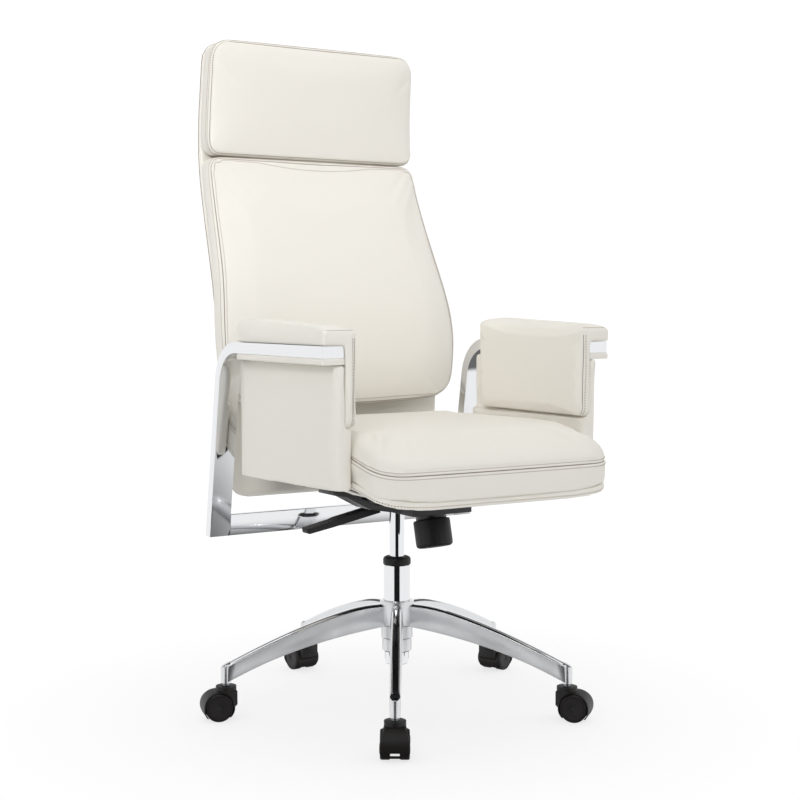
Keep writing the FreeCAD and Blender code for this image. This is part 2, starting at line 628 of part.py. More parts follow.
def cross_bar():
    """The bar between the two posts, a tube of the same section that leans with them."""
    shapes = []
    for inset, name in (("0", "skin"), ("bar_wall", "hollow")):
        low, high = "bar_bottom + " + inset, "bar_top - " + inset
        skin = inset + LEANING
        rear = "bar_deep" + LEANING + " - " + skin
        body = new_body("cross_" + name)
        sketch = outline(body, "YZ_Plane", [
            (post_face(low, skin), low), (post_face(low, rear), low),
            (post_face(high, rear), high), (post_face(high, skin), high)])
        extrude(body, "Pad", sketch, "2 * frame_inner")
        shapes.append(body)
    finish(cut("cross_tube", *shapes), "cross_bar")


def arm_cover(side, word):
    """The leather strip under the rail, the padded panel below it and the pad over it."""
    lip = new_body("lip_" + word)
    strip = extrude(lip, "Pad", outline(lip, "YZ_Plane", [
        ("rail_front - lip_proud", "rail_top - bar_deep - lip_thick"),
        ("lip_rear", "rail_top - bar_deep - lip_thick"), ("lip_rear", "rail_top - bar_deep - 0.2"),
        ("rail_front - lip_proud", "rail_top - bar_deep - 0.2")],
        "frame_inner + (bar_wide + lip_proud) / 2"), "bar_wide + lip_proud")
    rounded(lip, strip, lambda p: p.x > SIZES["frame_inner"] + SIZES["bar_wide"] + 1, "3")
    finish(sided(lip, side), "arm_lip_" + word)

    panel = new_body("panel_" + word)
    slab = extrude(panel, "Pad", outline(panel, "YZ_Plane", [
        ("panel_front + 3", "panel_low + 3"), ("panel_rear - 10", "panel_low - 3"),
        ("panel_rear - 6", "rail_top - bar_deep - lip_thick - 0.4"),
        ("panel_front", "rail_top - bar_deep - lip_thick - 0.4")], "panel_inner + panel_thick / 2"),
        "panel_thick")
    front = SIZES["panel_front"] + 3.5
    rear = SIZES["panel_rear"] - 10.5
    slab = rounded(panel, slab, lambda p: p.y < front or p.y > rear, "panel_edge")
    rebate = outline(panel, "XZ_Plane", [
        ("panel_inner - 5", "drop_low - 0.5"), ("pad_inner + drop_thick + 0.4", "drop_low - 0.5"),
        ("pad_inner + drop_thick + 0.4", "rail_top"), ("panel_inner - 5", "rail_top")])
    extrude(panel, "Pocket", rebate, "6 * panel_rear")
    finish(sided(panel, side), "arm_panel_" + word)

    pad = new_body("pad_" + word)
    crown = extrude(pad, "Pad", outline(pad, "XZ_Plane", [
        ("pad_inner", "drop_low"), ("pad_inner + drop_thick", "drop_low"),
        ("pad_inner + drop_thick", "rail_top + 0.2"),
        ("frame_inner + bar_wide + lip_proud", "rail_top + 0.2"),
        ("frame_inner + bar_wide + lip_proud", "pad_top_rear"), ("pad_inner", "pad_top_rear")],
        "-(pad_front + pad_rear) / 2"), "pad_rear - pad_front")
    slope = outline(pad, "YZ_Plane", [
        ("pad_front - 1", "pad_top_front"), ("pad_rear + 1", "pad_top_rear"),
        ("pad_rear + 1", "pad_top_rear + 20"), ("pad_front - 1", "pad_top_rear + 20")],
        "frame_inner")
    crown = extrude(pad, "Pocket", slope, "4 * bar_wide")
    top = SIZES["pad_top_front"] - 1
    inside = SIZES["pad_inner"] + 0.5
    crown = rounded(pad, crown, lambda p: p.z > top and p.x < inside, "pad_roll")
    ends = (SIZES["pad_front"] + 0.5, SIZES["pad_rear"] - 0.5)
    low = SIZES["drop_low"] + 0.5
    crown = rounded(pad, crown, lambda p: p.z < low and (p.y < ends[0] or p.y > ends[1]), "pad_edge")
    finish(sided(pad, side), "arm_pad_" + word)


# ---------------------------------------------------------------- back

def back_stations(low, high):
    """Formulas (height, face, half width) from a low to a high end, straight between stations."""
    stations = []
    letters = "abcdefghijkl"[:len(BACK)]
    low_value, high_value = value_of(low), value_of(high)
    for first, second in zip(letters, letters[1:]):
        bottom, top = SIZES["back_rise_" + first], SIZES["back_rise_" + second]
        for end, number in ((low, low_value), (high, high_value)):
            if bottom <= number <= top and not (end == high and number == bottom):
                share = "((%s) - back_rise_%s) / (back_rise_%s - back_rise_%s)" % (end, first, second, first)
                stations.append((number, end) + tuple(
                    "(back_{0}_{1} + (back_{0}_{2} - back_{0}_{1}) * {3})".format(kind, first, second, share)
                    for kind in ("face", "half")))
        if low_value + 25 < top < high_value - 25:
            stations.append((top, "back_rise_" + second, "back_face_" + second, "back_half_" + second))
    stations.sort()
    return [station[1:] for station in stations]


def back_layer(label, low, high, front, rear, corner, widen):
    """A layer of the back: what a curved side profile and a tapered front outline share."""
    stations = back_stations(low, high)
    profile = new_body(label + "_profile")
    forward = [("%s + (%s)" % (face, front), height) for height, face, half in stations]
    behind = [("%s + (%s)" % (face, rear), height) for height, face, half in stations]
    extrude(profile, "Pad", outline(profile, "YZ_Plane", forward + behind[::-1]), "3 * seat_half")
    front_view = new_body(label + "_outline")
    left = [(half + widen, height) for height, face, half in stations]
    right = [("-(%s)" % across, height) for across, height in left]
    slab = extrude(front_view, "Pad", outline(front_view, "XZ_Plane", left + right[::-1],
                                              "-2 * back_face_a"), "4 * back_face_a")
    bottom, top = value_of(low) + 0.5, value_of(high) - 0.5
    rounded(front_view, slab, lambda p: p.z < bottom or p.z > top, corner, along="Y")
    finish(shared(label + "_common", profile, front_view), label)


def back_set():
    back_layer("back_shell", "shell_low", "shell_top", "0", "shell_thick", "shell_corner", " + 0")
    deep = "-(cushion_deep + cushion_bulge)"
    back_layer("back_cushion", "cushion_low", "head_split - split_gap / 2", deep, "-cushion_gap",
               "cushion_corner", " + 1")
    back_layer("headrest_cushion", "head_split + split_gap / 2", "shell_top - 1", deep, "-cushion_gap",
               "cushion_corner - 10", " + 1")


# ---------------------------------------------------------------- brackets, straps and bolts

def arm_bracket(side, word):
    """A strap from the foot of the arm panel, down and in to the underside of the seat."""
    body = new_body("bracket_" + word)
    under = [
        ("panel_inner + 20", "panel_low - 4"), ("panel_inner - 4", "panel_low - 8"),
        ("pan_flat + 38", "bracket_low"), ("pan_flat + 4", "pan_low - 14"),
        ("pan_flat - 8", "pan_low - 16"), ("pan_flat - 16", "pan_low - 8"),
        ("plate_half + 4", "pan_low - 0.2 - bracket_thick"), ("plate_half + 4", "pan_low - 0.2")]
    over = [
        ("pan_flat - 22", "pan_low - 0.2"), ("pan_flat - 12", "pan_low - 3"),
        ("pan_flat - 4", "pan_low - 5"), ("pan_flat + 30", "bracket_low + bracket_thick + 1"),
        ("panel_inner - 9", "panel_low - 2"), ("panel_inner + 2", "panel_low + 1.6"),
        ("panel_inner + 20", "panel_low + 1.6")]
    sketch = outline(body, "XZ_Plane", under + over, "-(bracket_front + bracket_wide / 2)")
    extrude(body, "Pad", sketch, "bracket_wide")
    finish(sided(body, side), "arm_bracket_" + word)


def back_straps():
    """Two flat bars that run under the seat and turn up in front of the shell's foot."""
    body = new_body("straps")
    sketch = outline(body, "YZ_Plane", [
        ("strap_front", "pan_low - 0.2"), ("strap_front", "pan_low - 0.2 - strap_thick"),
        ("strap_back", "pan_low - 0.2 - strap_thick"), ("strap_back + strap_rake", "strap_top"),
        ("strap_back + strap_rake - strap_thick", "strap_top"),
        ("strap_back - strap_thick", "pan_low - 0.2")], "-strap_spread")
    first = extrude(body, "Pad", sketch, "2 * strap_half")
    mirror = body.newObject("PartDesign::Mirrored", "straps_mirror")
    mirror.Originals = [first]
    mirror.MirrorPlane = (plane_of(body, "YZ_Plane"), [""])
    body.Tip = mirror
    doc.recompute()
    finish(body, "back_straps")


def bolt(name, x, y, z, axis=None):
    """A button head whose shank runs on from its seat along +Z, or along +Y if it is turned."""
    turn = dict(axis=(1, 0, 0), angle=-90) if axis == "Y" else {}
    behind = {"Y": (x, "%s - head_high" % y, z)}.get(axis, (x, y, "%s - head_high" % z))
    head = cylinder(name + "_head", "head_radius", "head_high", *behind, **turn)
    shank = cylinder(name + "_shank", "head_radius / 2", "bolt_long", x, y, z, **turn)
    return fused(name, [head, shank])


def seat_bolts():
    """The bolts of the plate, the arm brackets and the straps, all of one size."""
    seats = []
    for side in ("-", ""):
        for place in ("plate_front + 14", "plate_rear - 14"):
            seats.append((side + "(plate_half - 12)", place, "plate_low", None))
        for place in ("bracket_front + 13", "bracket_front + bracket_wide - 13"):
            seats.append((side + "(plate_half + 18)", place, "pan_low - 0.2 - bracket_thick", None))
        for place in ("strap_front + 16", "strap_front + 56"):
            seats.append((side + "strap_spread", place, "pan_low - 0.2 - strap_thick", None))
        for share in ("0.3", "0.85"):
            height = "(pan_low + %s * (strap_top - pan_low))" % share
            seats.append((side + "strap_spread", "strap_back + %s * strap_rake - strap_thick" % share,
                          height, "Y"))
    group = doc.addObject("Part::Compound", "bolt_group")
    group.Links = [bolt("bolt_%d" % index, *seat) for index, seat in enumerate(seats)]
    doc.recompute()
    finish(group, "seat_bolts")


# ---------------------------------------------------------------- assembly and export

star_base()
gas_column()
for number in range(SIZES["leg_count"]):
    caster(number)
mechanism_housing()
tension_set()
lever_set()
seat_plate()
seat_layers()
for direction, name in ((-1, "right"), (1, "left")):
    arm_frame(direction, name)
    arm_cover(direction, name)
    arm_bracket(direction, name)
cross_bar()
back_set()
back_straps()
seat_bolts()
doc.recompute()

for thing in doc.Objects:
    if "Invalid" in thing.State or "Error" in thing.State:
        raise RuntimeError("%s did not recompute: %s" % (thing.Name, thing.State))
for node in NODES:
    if node.Shape.isNull() or not node.Shape.isValid() or not node.Shape.Solids:
        raise RuntimeError(node.Label + " has no valid solid")
    node.Shape.exportStep("parts/%s.step" % node.Label)
print(len(NODES), "nodes")
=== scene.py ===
import json
import math

import bmesh
import bpy
import numpy as np
from bpy.props import FloatProperty, FloatVectorProperty, IntProperty, PointerProperty
from mathutils import Matrix, Vector
from mathutils.bvhtree import BVHTree


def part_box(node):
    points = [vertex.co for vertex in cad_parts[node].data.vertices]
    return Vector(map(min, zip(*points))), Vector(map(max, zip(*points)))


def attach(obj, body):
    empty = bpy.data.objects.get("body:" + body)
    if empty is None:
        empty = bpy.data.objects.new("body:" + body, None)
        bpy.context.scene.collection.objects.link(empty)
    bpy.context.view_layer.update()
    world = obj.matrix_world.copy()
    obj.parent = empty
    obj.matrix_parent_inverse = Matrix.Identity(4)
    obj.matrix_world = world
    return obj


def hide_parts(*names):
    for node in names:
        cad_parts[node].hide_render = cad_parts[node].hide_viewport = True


bl_info = {
    "name": "Swivel Office Chair",
    "version": (1, 0, 0),
    "blender": (4, 5, 0),
    "location": "3D View > Sidebar > Chair",
    "description": "Upholsters and finishes a swivel office chair on its working frame",
    "category": "Object",
}

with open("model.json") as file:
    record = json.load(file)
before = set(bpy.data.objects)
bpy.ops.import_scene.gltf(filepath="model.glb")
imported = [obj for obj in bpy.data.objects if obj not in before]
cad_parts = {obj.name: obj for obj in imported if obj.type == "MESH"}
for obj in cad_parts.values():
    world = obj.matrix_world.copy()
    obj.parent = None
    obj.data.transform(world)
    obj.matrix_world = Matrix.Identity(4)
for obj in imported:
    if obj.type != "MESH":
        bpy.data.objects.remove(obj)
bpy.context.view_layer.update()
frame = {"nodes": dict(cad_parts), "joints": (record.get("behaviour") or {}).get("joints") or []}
JOINTS = {joint["name"]: joint for joint in frame["joints"]}
MM = 0.001
SIDES = (("left", 1), ("right", -1))
CASTERS = range(1, 6)
SAME = 1e-6         # metres within which two heights or places count as one


def linear(code):
    """An sRGB hex colour as linear red, green and blue."""
    channels = [int(code[place:place + 2], 16) / 255 for place in (1, 3, 5)]
    return tuple(c / 12.92 if c <= 0.04045 else ((c + 0.055) / 1.055) ** 2.4 for c in channels)


# ------------------------------------------------------------------ settings

class ChairUpholstery(bpy.types.PropertyGroup):
    """How the leather is cut, padded and sewn."""

    voxel: FloatProperty(name="Mesh Size", description="Spacing of the points in a pad's leather",
                         default=5.5 * MM, unit="LENGTH")
    pressure: FloatProperty(name="Foam Pressure", description="How hard the foam pushes the leather",
                            default=4.0, min=0.0)
    frames: IntProperty(name="Settling Frames", description="Steps the leather is given to settle",
                        default=20, min=1)
    seam_depth: FloatProperty(name="Seam Depth", description="How far a seam pulls the leather in",
                              default=1.9 * MM, unit="LENGTH")
    seam_width: FloatProperty(name="Seam Width", description="Half width of the groove at a seam",
                              default=3.2 * MM, unit="LENGTH")
    stitch_pitch: FloatProperty(name="Stitch Pitch", description="From one stitch to the next",
                                default=4.8 * MM, unit="LENGTH")
    stitch_length: FloatProperty(name="Stitch Length", description="Visible length of one stitch",
                                 default=3.3 * MM, unit="LENGTH")
    thread: FloatProperty(name="Thread", description="Radius of the sewing thread",
                          default=0.8 * MM, unit="LENGTH")
    welt: FloatProperty(name="Welt", description="Radius of the cord that fills a seam",
                        default=1.1 * MM, unit="LENGTH")


class ChairMetalwork(bpy.types.PropertyGroup):
    """How the metal and plastic pieces are eased at their edges."""

    chrome_edge: FloatProperty(name="Chrome Edge", description="Edge radius of the bent tube",
                               default=1.8 * MM, unit="LENGTH")
    cast_edge: FloatProperty(name="Cast Edge", description="Edge radius of the star base",
                             default=1.6 * MM, unit="LENGTH")
    pressed_edge: FloatProperty(name="Pressed Edge", description="Edge radius of pressed steel",
                                default=0.5 * MM, unit="LENGTH")
    moulded_edge: FloatProperty(name="Moulded Edge", description="Edge radius of moulded plastic",
                                default=0.9 * MM, unit="LENGTH")


class ChairColours(bpy.types.PropertyGroup):
    """The colours of the finishes, in linear light."""

    leather: FloatVectorProperty(name="Leather", description="Cream leather", subtype="COLOR",
                                 default=linear("#EDE2DF"))
    # Painted shade: Leather Shade is the colour of this leather where it lies in shade. The leather
    # finish mixes it in at random, not in the folds.
    leather_painted_shade: FloatVectorProperty(name="Leather Shade", description="Leather in its folds",
                                       subtype="COLOR", default=linear("#E2D6CE"))
    thread: FloatVectorProperty(name="Thread", description="Sewing thread", subtype="COLOR",
                                default=linear("#93816F"))
    # Painted shade: the welt's dark colour stands for the shadow in a seam's groove and draws a dark
    # line along each seam.
    welt: FloatVectorProperty(name="Welt", description="Leather in a seam", subtype="COLOR",
                              default=linear("#7A6A5B"))
    chrome: FloatVectorProperty(name="Chrome", description="Chrome plate", subtype="COLOR",
                                default=linear("#E6E7E9"))
    aluminium: FloatVectorProperty(name="Aluminium", description="Polished aluminium",
                                   subtype="COLOR", default=linear("#DCDDDF"))
    nylon: FloatVectorProperty(name="Nylon", description="Black nylon", subtype="COLOR",
                               default=linear("#120E0D"))
    paint: FloatVectorProperty(name="Paint", description="Black powder paint", subtype="COLOR",
                               default=linear("#17171A"))
    steel: FloatVectorProperty(name="Steel", description="Ground steel", subtype="COLOR",
                               default=linear("#A7A9AD"))
    dark_steel: FloatVectorProperty(name="Dark Steel", description="Blackened steel",
                                    subtype="COLOR", default=linear("#3A3A3D"))


# ------------------------------------------------------------------ finishes

def add_node(tree, kind, settings=None, values=None, links=None):
    """Adds a node with its settings, the values of its sockets and the links into them."""
    node = tree.nodes.new(kind)
    for name, value in (settings or {}).items():
        setattr(node, name, value)
    for name, value in (values or {}).items():
        node.inputs[name].default_value = value
    for name, socket in (links or {}).items():
        tree.links.new(socket, node.inputs[name])
    return node


def new_finish(name, **values):
    """A material with one shader; returns its tree, its shader and object coordinates."""
    material = bpy.data.materials.new(name)
    material.use_nodes = True
    tree = material.node_tree
    tree.nodes.clear()
    shader = add_node(tree, "ShaderNodeBsdfPrincipled", values=values)
    add_node(tree, "ShaderNodeOutputMaterial", links={"Surface": shader.outputs["BSDF"]})
    place = add_node(tree, "ShaderNodeTexCoord").outputs["Object"]
    return tree, shader, place


def full_grain_leather(name, tone, shade, roughness):
    """Smooth dyed cowhide: fine pores under a satin top coat, slow hills where foam gives, and
    blotches of painted shade.
    """
    tree, shader, place = new_finish(name)
    # Painted shade: a slow noise, about a ninth of a metre across, blends the leather's tone with the
    # colour of the same leather in shade.
    cloud = add_node(tree, "ShaderNodeTexNoise", values={"Scale": 9.0, "Detail": 4.0},
                     links={"Vector": place})
    tint = add_node(tree, "ShaderNodeMix", {"data_type": "RGBA"},
                    {6: (*tone, 1), 7: (*shade, 1)}, {0: cloud.outputs["Fac"]})
    tree.links.new(tint.outputs[2], shader.inputs["Base Color"])
    # Pores lie about 1.3 mm apart, a little coarser than real ones so that they show.
    pores = add_node(tree, "ShaderNodeTexVoronoi", {"feature": "F1"}, {"Scale": 760.0},
                     {"Vector": place})
    pebble = add_node(tree, "ShaderNodeTexNoise", values={"Scale": 420.0, "Detail": 6.0},
                      links={"Vector": place})
    gloss = add_node(tree, "ShaderNodeMapRange",
                     values={"To Min": roughness - 0.06, "To Max": roughness + 0.08},
                     links={"Value": pebble.outputs["Fac"]})
    tree.links.new(gloss.outputs[0], shader.inputs["Roughness"])
    hills = add_node(tree, "ShaderNodeTexNoise", values={"Scale": 16.0, "Detail": 3.0},
                     links={"Vector": place})
    slow = add_node(tree, "ShaderNodeBump", values={"Strength": 0.35, "Distance": 1.6 * MM},
                    links={"Height": hills.outputs["Fac"]})
    fine = add_node(tree, "ShaderNodeBump", values={"Strength": 0.16, "Distance": 0.25 * MM},
                    links={"Height": pebble.outputs["Fac"], "Normal": slow.outputs["Normal"]})
    grain = add_node(tree, "ShaderNodeBump", values={"Strength": 0.22, "Distance": 0.12 * MM},
                     links={"Height": pores.outputs["Distance"], "Normal": fine.outputs["Normal"]})
    tree.links.new(grain.outputs["Normal"], shader.inputs["Normal"])


def bonded_thread(name, tone):
    """Twisted polyester thread: matt, with a fine bias lay."""
    tree, shader, place = new_finish(name, **{"Base Color": (*tone, 1), "Roughness": 0.7})
    lay = add_node(tree, "ShaderNodeTexWave", {"bands_direction": "DIAGONAL"},
                   {"Scale": 900.0, "Distortion": 1.0}, {"Vector": place})
    bump = add_node(tree, "ShaderNodeBump", values={"Strength": 0.4, "Distance": 0.1 * MM},
                    links={"Height": lay.outputs["Fac"]})
    tree.links.new(bump.outputs["Normal"], shader.inputs["Normal"])


def plated_chrome(name, tone):
    """Bright chrome on steel tube: a hard mirror with the faintest haze from wiping."""
    tree, shader, place = new_finish(name, **{"Base Color": (*tone, 1), "Metallic": 1.0})
    haze = add_node(tree, "ShaderNodeTexNoise", values={"Scale": 22.0, "Detail": 5.0},
                    links={"Vector": place})
    gloss = add_node(tree, "ShaderNodeMapRange", values={"To Min": 0.03, "To Max": 0.11},
                     links={"Value": haze.outputs["Fac"]})
    tree.links.new(gloss.outputs[0], shader.inputs["Roughness"])
    # The buffed tube is flat to about a hundredth of a millimetre, which bends reflections.
    bump = add_node(tree, "ShaderNodeBump", values={"Strength": 0.12, "Distance": 0.5 * MM},
                    links={"Height": haze.outputs["Fac"]})
    tree.links.new(bump.outputs["Normal"], shader.inputs["Normal"])


def buffed_aluminium(name, tone):
    """Die-cast aluminium buffed on a wheel: bright where it was pressed, hazy on its flanks."""
    tree, shader, place = new_finish(name, **{"Base Color": (*tone, 1), "Metallic": 1.0})
    facing = add_node(tree, "ShaderNodeNewGeometry").outputs["Normal"]
    parts = add_node(tree, "ShaderNodeSeparateXYZ", links={"Vector": facing})
    upward = add_node(tree, "ShaderNodeMath", {"operation": "ABSOLUTE"},
                      links={0: parts.outputs["Z"]})
    cloud = add_node(tree, "ShaderNodeTexNoise", values={"Scale": 30.0, "Detail": 6.0},
                     links={"Vector": place})
    flank = add_node(tree, "ShaderNodeMapRange", values={"To Min": 0.2, "To Max": 0.42},
                     links={"Value": cloud.outputs["Fac"]})
    gloss = add_node(tree, "ShaderNodeMapRange", values={"From Min": 0.25, "From Max": 0.8,
                                                         "To Max": 0.07},
                     links={"Value": upward.outputs[0], "To Min": flank.outputs[0]})
    tree.links.new(gloss.outputs[0], shader.inputs["Roughness"])
    # Buffing lines run level round the leg, about 0.4 mm apart.
    level = add_node(tree, "ShaderNodeMapping", values={"Scale": (60, 60, 2400)},
                     links={"Vector": place})
    lines = add_node(tree, "ShaderNodeTexNoise", values={"Scale": 1.0, "Detail": 3.0},
                     links={"Vector": level.outputs["Vector"]})
    bump = add_node(tree, "ShaderNodeBump", values={"Strength": 0.06, "Distance": 0.1 * MM},
                    links={"Height": lines.outputs["Fac"]})
    tree.links.new(bump.outputs["Normal"], shader.inputs["Normal"])


def moulded_nylon(name, tone, roughness, grit):
    """Glass-filled nylon from a spark-eroded mould: near black with a fine even grit."""
    tree, shader, place = new_finish(name, **{"Base Color": (*tone, 1), "IOR": 1.53,
                                              "Specular IOR Level": 0.35})
    spark = add_node(tree, "ShaderNodeTexNoise", values={"Scale": 1 / grit, "Detail": 2.0},
                     links={"Vector": place})
    gloss = add_node(tree, "ShaderNodeMapRange",
                     values={"To Min": roughness - 0.06, "To Max": roughness + 0.1},
                     links={"Value": spark.outputs["Fac"]})
    tree.links.new(gloss.outputs[0], shader.inputs["Roughness"])
    bump = add_node(tree, "ShaderNodeBump", values={"Strength": 0.3, "Distance": 0.12 * MM},
                    links={"Height": spark.outputs["Fac"]})
    tree.links.new(bump.outputs["Normal"], shader.inputs["Normal"])


def powder_paint(name, tone):
    """Black epoxy powder on pressed steel: satin, with the orange peel of a baked coat."""
    tree, shader, place = new_finish(name, **{"Base Color": (*tone, 1), "Roughness": 0.38})
    peel = add_node(tree, "ShaderNodeTexNoise", values={"Scale": 700.0, "Detail": 1.0},
                    links={"Vector": place})
    bump = add_node(tree, "ShaderNodeBump", values={"Strength": 0.35, "Distance": 0.15 * MM},
                    links={"Height": peel.outputs["Fac"]})
    tree.links.new(bump.outputs["Normal"], shader.inputs["Normal"])


def ground_steel(name, tone, roughness):
    """Cylindrically ground steel: a grey metal with fine marks round its axis."""
    tree, shader, place = new_finish(name, **{"Base Color": (*tone, 1), "Metallic": 1.0})
    level = add_node(tree, "ShaderNodeMapping", values={"Scale": (40, 40, 1800)},
                     links={"Vector": place})
    marks = add_node(tree, "ShaderNodeTexNoise", values={"Scale": 1.0, "Detail": 2.0},
                     links={"Vector": level.outputs["Vector"]})
    gloss = add_node(tree, "ShaderNodeMapRange",
                     values={"To Min": roughness - 0.08, "To Max": roughness + 0.1},
                     links={"Value": marks.outputs["Fac"]})
    tree.links.new(gloss.outputs[0], shader.inputs["Roughness"])


def needle_felt(name, tone):
    """The thin black felt stapled under a seat: no gloss, with loose fibres."""
    tree, shader, place = new_finish(name, **{"Roughness": 0.95, "Sheen Weight": 0.3})
    fibre = add_node(tree, "ShaderNodeTexNoise", values={"Scale": 900.0, "Detail": 5.0},
                     links={"Vector": place})
    tint = add_node(tree, "ShaderNodeMix", {"data_type": "RGBA"},
                    {6: (*tone, 1), 7: (*[2.2 * part for part in tone], 1)},
                    {0: fibre.outputs["Fac"]})
    tree.links.new(tint.outputs[2], shader.inputs["Base Color"])
    bump = add_node(tree, "ShaderNodeBump", values={"Strength": 0.5, "Distance": 0.3 * MM},
                    links={"Height": fibre.outputs["Fac"]})
    tree.links.new(bump.outputs["Normal"], shader.inputs["Normal"])


# ------------------------------------------------------------------ mesh helpers

def piece_from(bm, name, sharp=35):
    """A new object from a bmesh, smooth except where its faces meet sharply."""
    mesh = bpy.data.meshes.new(name)
    bm.to_mesh(mesh)
    bm.free()
    mesh.shade_smooth()
    mesh.set_sharp_from_angle(angle=math.radians(sharp))
    piece = bpy.data.objects.new(name, mesh)
    bpy.context.scene.collection.objects.link(piece)
    return piece


def fitted(piece, body, slot, finish, *nodes):
    """Gives a piece its finish and its body, and hides the CAD nodes that it stands for; the slot is
    not used.
    """
    piece.data.materials.clear()
    piece.data.materials.append(bpy.data.materials[finish])
    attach(piece, body)
    if nodes:
        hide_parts(*nodes)
    return piece


def block(low, high):
    """A box between two corners."""
    bm = bmesh.new()
    low, high = Vector(low), Vector(high)
    stretch = Matrix.Translation((low + high) / 2) @ Matrix.Diagonal((*(high - low), 1))
    bmesh.ops.create_cube(bm, size=1, matrix=stretch)
    return bm


def bevelled(bm, edges, width, segments=3):
    """Rounds edges, or chamfers them where there is one segment."""
    bmesh.ops.bevel(bm, geom=edges, offset=width, offset_type="OFFSET", affect="EDGES",
                    segments=segments, profile=0.5, material=-1, clamp_overlap=True)


def ease_edges(bm, width, segments=2, angle=30):
    """Rounds every edge whose faces meet more sharply than an angle."""
    limit = math.radians(angle)
    sharp = [edge for edge in bm.edges if edge.is_manifold and edge.calc_face_angle(0) > limit]
    bevelled(bm, sharp, width, segments)


def turned(profile, place=Matrix(), steps=72, closed=False):
    """Spins a profile of (radius, height) points about Z, then moves it to its place."""
    bm = bmesh.new()
    chain = [bm.verts.new((radius, 0, height)) for radius, height in profile]
    pairs = list(zip(chain, chain[1:])) + ([(chain[-1], chain[0])] if closed else [])
    edges = [bm.edges.new(pair) for pair in pairs]
    bmesh.ops.spin(bm, geom=chain + edges, cent=(0, 0, 0), axis=(0, 0, 1), dvec=(0, 0, 0),
                   angle=2 * math.pi, steps=steps, use_merge=True)
    bmesh.ops.remove_doubles(bm, verts=bm.verts, dist=0.001 * MM)
    bmesh.ops.recalc_face_normals(bm, faces=bm.faces)
    bmesh.ops.transform(bm, matrix=place, verts=bm.verts)
    return bm


def along_axis(middle, axis):
    """The place of a turned piece that stands on a point along an axis."""
    return Matrix.Translation(middle) @ axis.to_track_quat("Z", "Y").to_matrix().to_4x4()


def in_mm(profile, lift=0):
    """A profile of (radius, height) in millimetres as metres, lifted."""
    return [(radius * MM, lift + height * MM) for radius, height in profile]


def cad_copy(node):
    """A merged copy of a CAD node with its flat faces whole."""
    bm = bmesh.new()
    bm.from_mesh(frame["nodes"][node].data)
    bmesh.ops.remove_doubles(bm, verts=bm.verts, dist=0.01 * MM)
    bmesh.ops.dissolve_limit(bm, angle_limit=math.radians(1), verts=bm.verts, edges=bm.edges)
    return bm


def points_of(piece, kind="co"):
    """A piece's points, or its normals, as rows of an array."""
    flat = np.empty(len(piece.data.vertices) * 3)
    piece.data.vertices.foreach_get(kind, flat)
    return flat.reshape(-1, 3)


def set_points(piece, points):
    """Moves a piece's points to the rows of an array."""
    piece.data.vertices.foreach_set("co", np.ascontiguousarray(points).ravel())
    piece.data.update()


def settle(piece):
    """Applies a piece's modifiers."""
    bpy.context.view_layer.update()
    depsgraph = bpy.context.evaluated_depsgraph_get()
    mesh = bpy.data.meshes.new_from_object(piece.evaluated_get(depsgraph))
    piece.modifiers.clear()
    spare = piece.data
    piece.data = mesh
    bpy.data.meshes.remove(spare)
    mesh.name = piece.name
    mesh.shade_smooth()


def remeshed(piece, voxel):
    """Covers a piece with an even mesh."""
    remesh = piece.modifiers.new("Remesh", "REMESH")
    remesh.mode = "VOXEL"
    remesh.voxel_size = voxel
    settle(piece)


def surface_of(piece):
    """A tree of a piece's faces, for rays to meet."""
    bm = bmesh.new()
    bm.from_mesh(piece.data)
    tree = BVHTree.FromBMesh(bm)
    bm.free()
    return tree


CURVE_STEPS = 600


def smoothed(places, values, at, reach):
    """Values between stations, with the corners at the stations rounded over a reach."""
    fine = np.linspace(places[0], places[-1], CURVE_STEPS)
    window = max(3, int(reach / (fine[1] - fine[0])) | 1)
    padded = np.pad(np.interp(fine, places, values), window // 2, mode="reflect",
                    reflect_type="odd")
    level = np.convolve(padded, np.ones(window) / window, mode="valid")
    return np.interp(at, fine, level)


# ------------------------------------------------------------------ upholstery helpers

HIDE_STIFFNESS = 25     # of the leather against pulling and pushing along its surface


def swell(piece, held, cap):
    """Lets foam push the leather out: held points stay, the others move by the cap at most."""
    sewing = bpy.context.scene.chair_upholstery
    start = points_of(piece)
    group = piece.vertex_groups.new(name="held")
    group.add([int(index) for index in np.flatnonzero(held)], 1.0, "REPLACE")
    cloth = piece.modifiers.new("Cloth", "CLOTH")
    cloth.settings.use_pressure = True
    cloth.settings.uniform_pressure_force = sewing.pressure
    cloth.settings.vertex_group_mass = group.name
    cloth.settings.effector_weights.gravity = 0
    cloth.settings.tension_stiffness = HIDE_STIFFNESS
    cloth.settings.compression_stiffness = HIDE_STIFFNESS
    for number in range(1, sewing.frames + 1):
        bpy.context.scene.frame_set(number)
    depsgraph = bpy.context.evaluated_depsgraph_get()
    puffed = points_of(piece.evaluated_get(depsgraph))
    piece.modifiers.clear()
    piece.vertex_groups.clear()
    bpy.context.scene.frame_set(1)
    moved = puffed - start
    length = np.maximum(np.linalg.norm(moved, axis=1), 1e-9)
    set_points(piece, start + moved * np.minimum(1, cap / length)[:, None])


def relaxed(piece, turns):
    """Evens a piece's surface out."""
    smooth = piece.modifiers.new("Smooth", "SMOOTH")
    smooth.iterations = turns
    smooth.factor = 0.5
    settle(piece)


def refined(piece):
    """Divides a piece's faces once, which rounds them."""
    finer = piece.modifiers.new("Subdivision", "SUBSURF")
    finer.levels = 1
    finer.render_levels = 1
    settle(piece)


def press_in(piece, distance, depth, width):
    """Pulls the leather in along its normals by a groove round where the distance is 0."""
    points = points_of(piece)
    pull = depth * np.exp(-(distance(points) / width) ** 2)
    set_points(piece, points - points_of(piece, "normal") * pull[:, None])


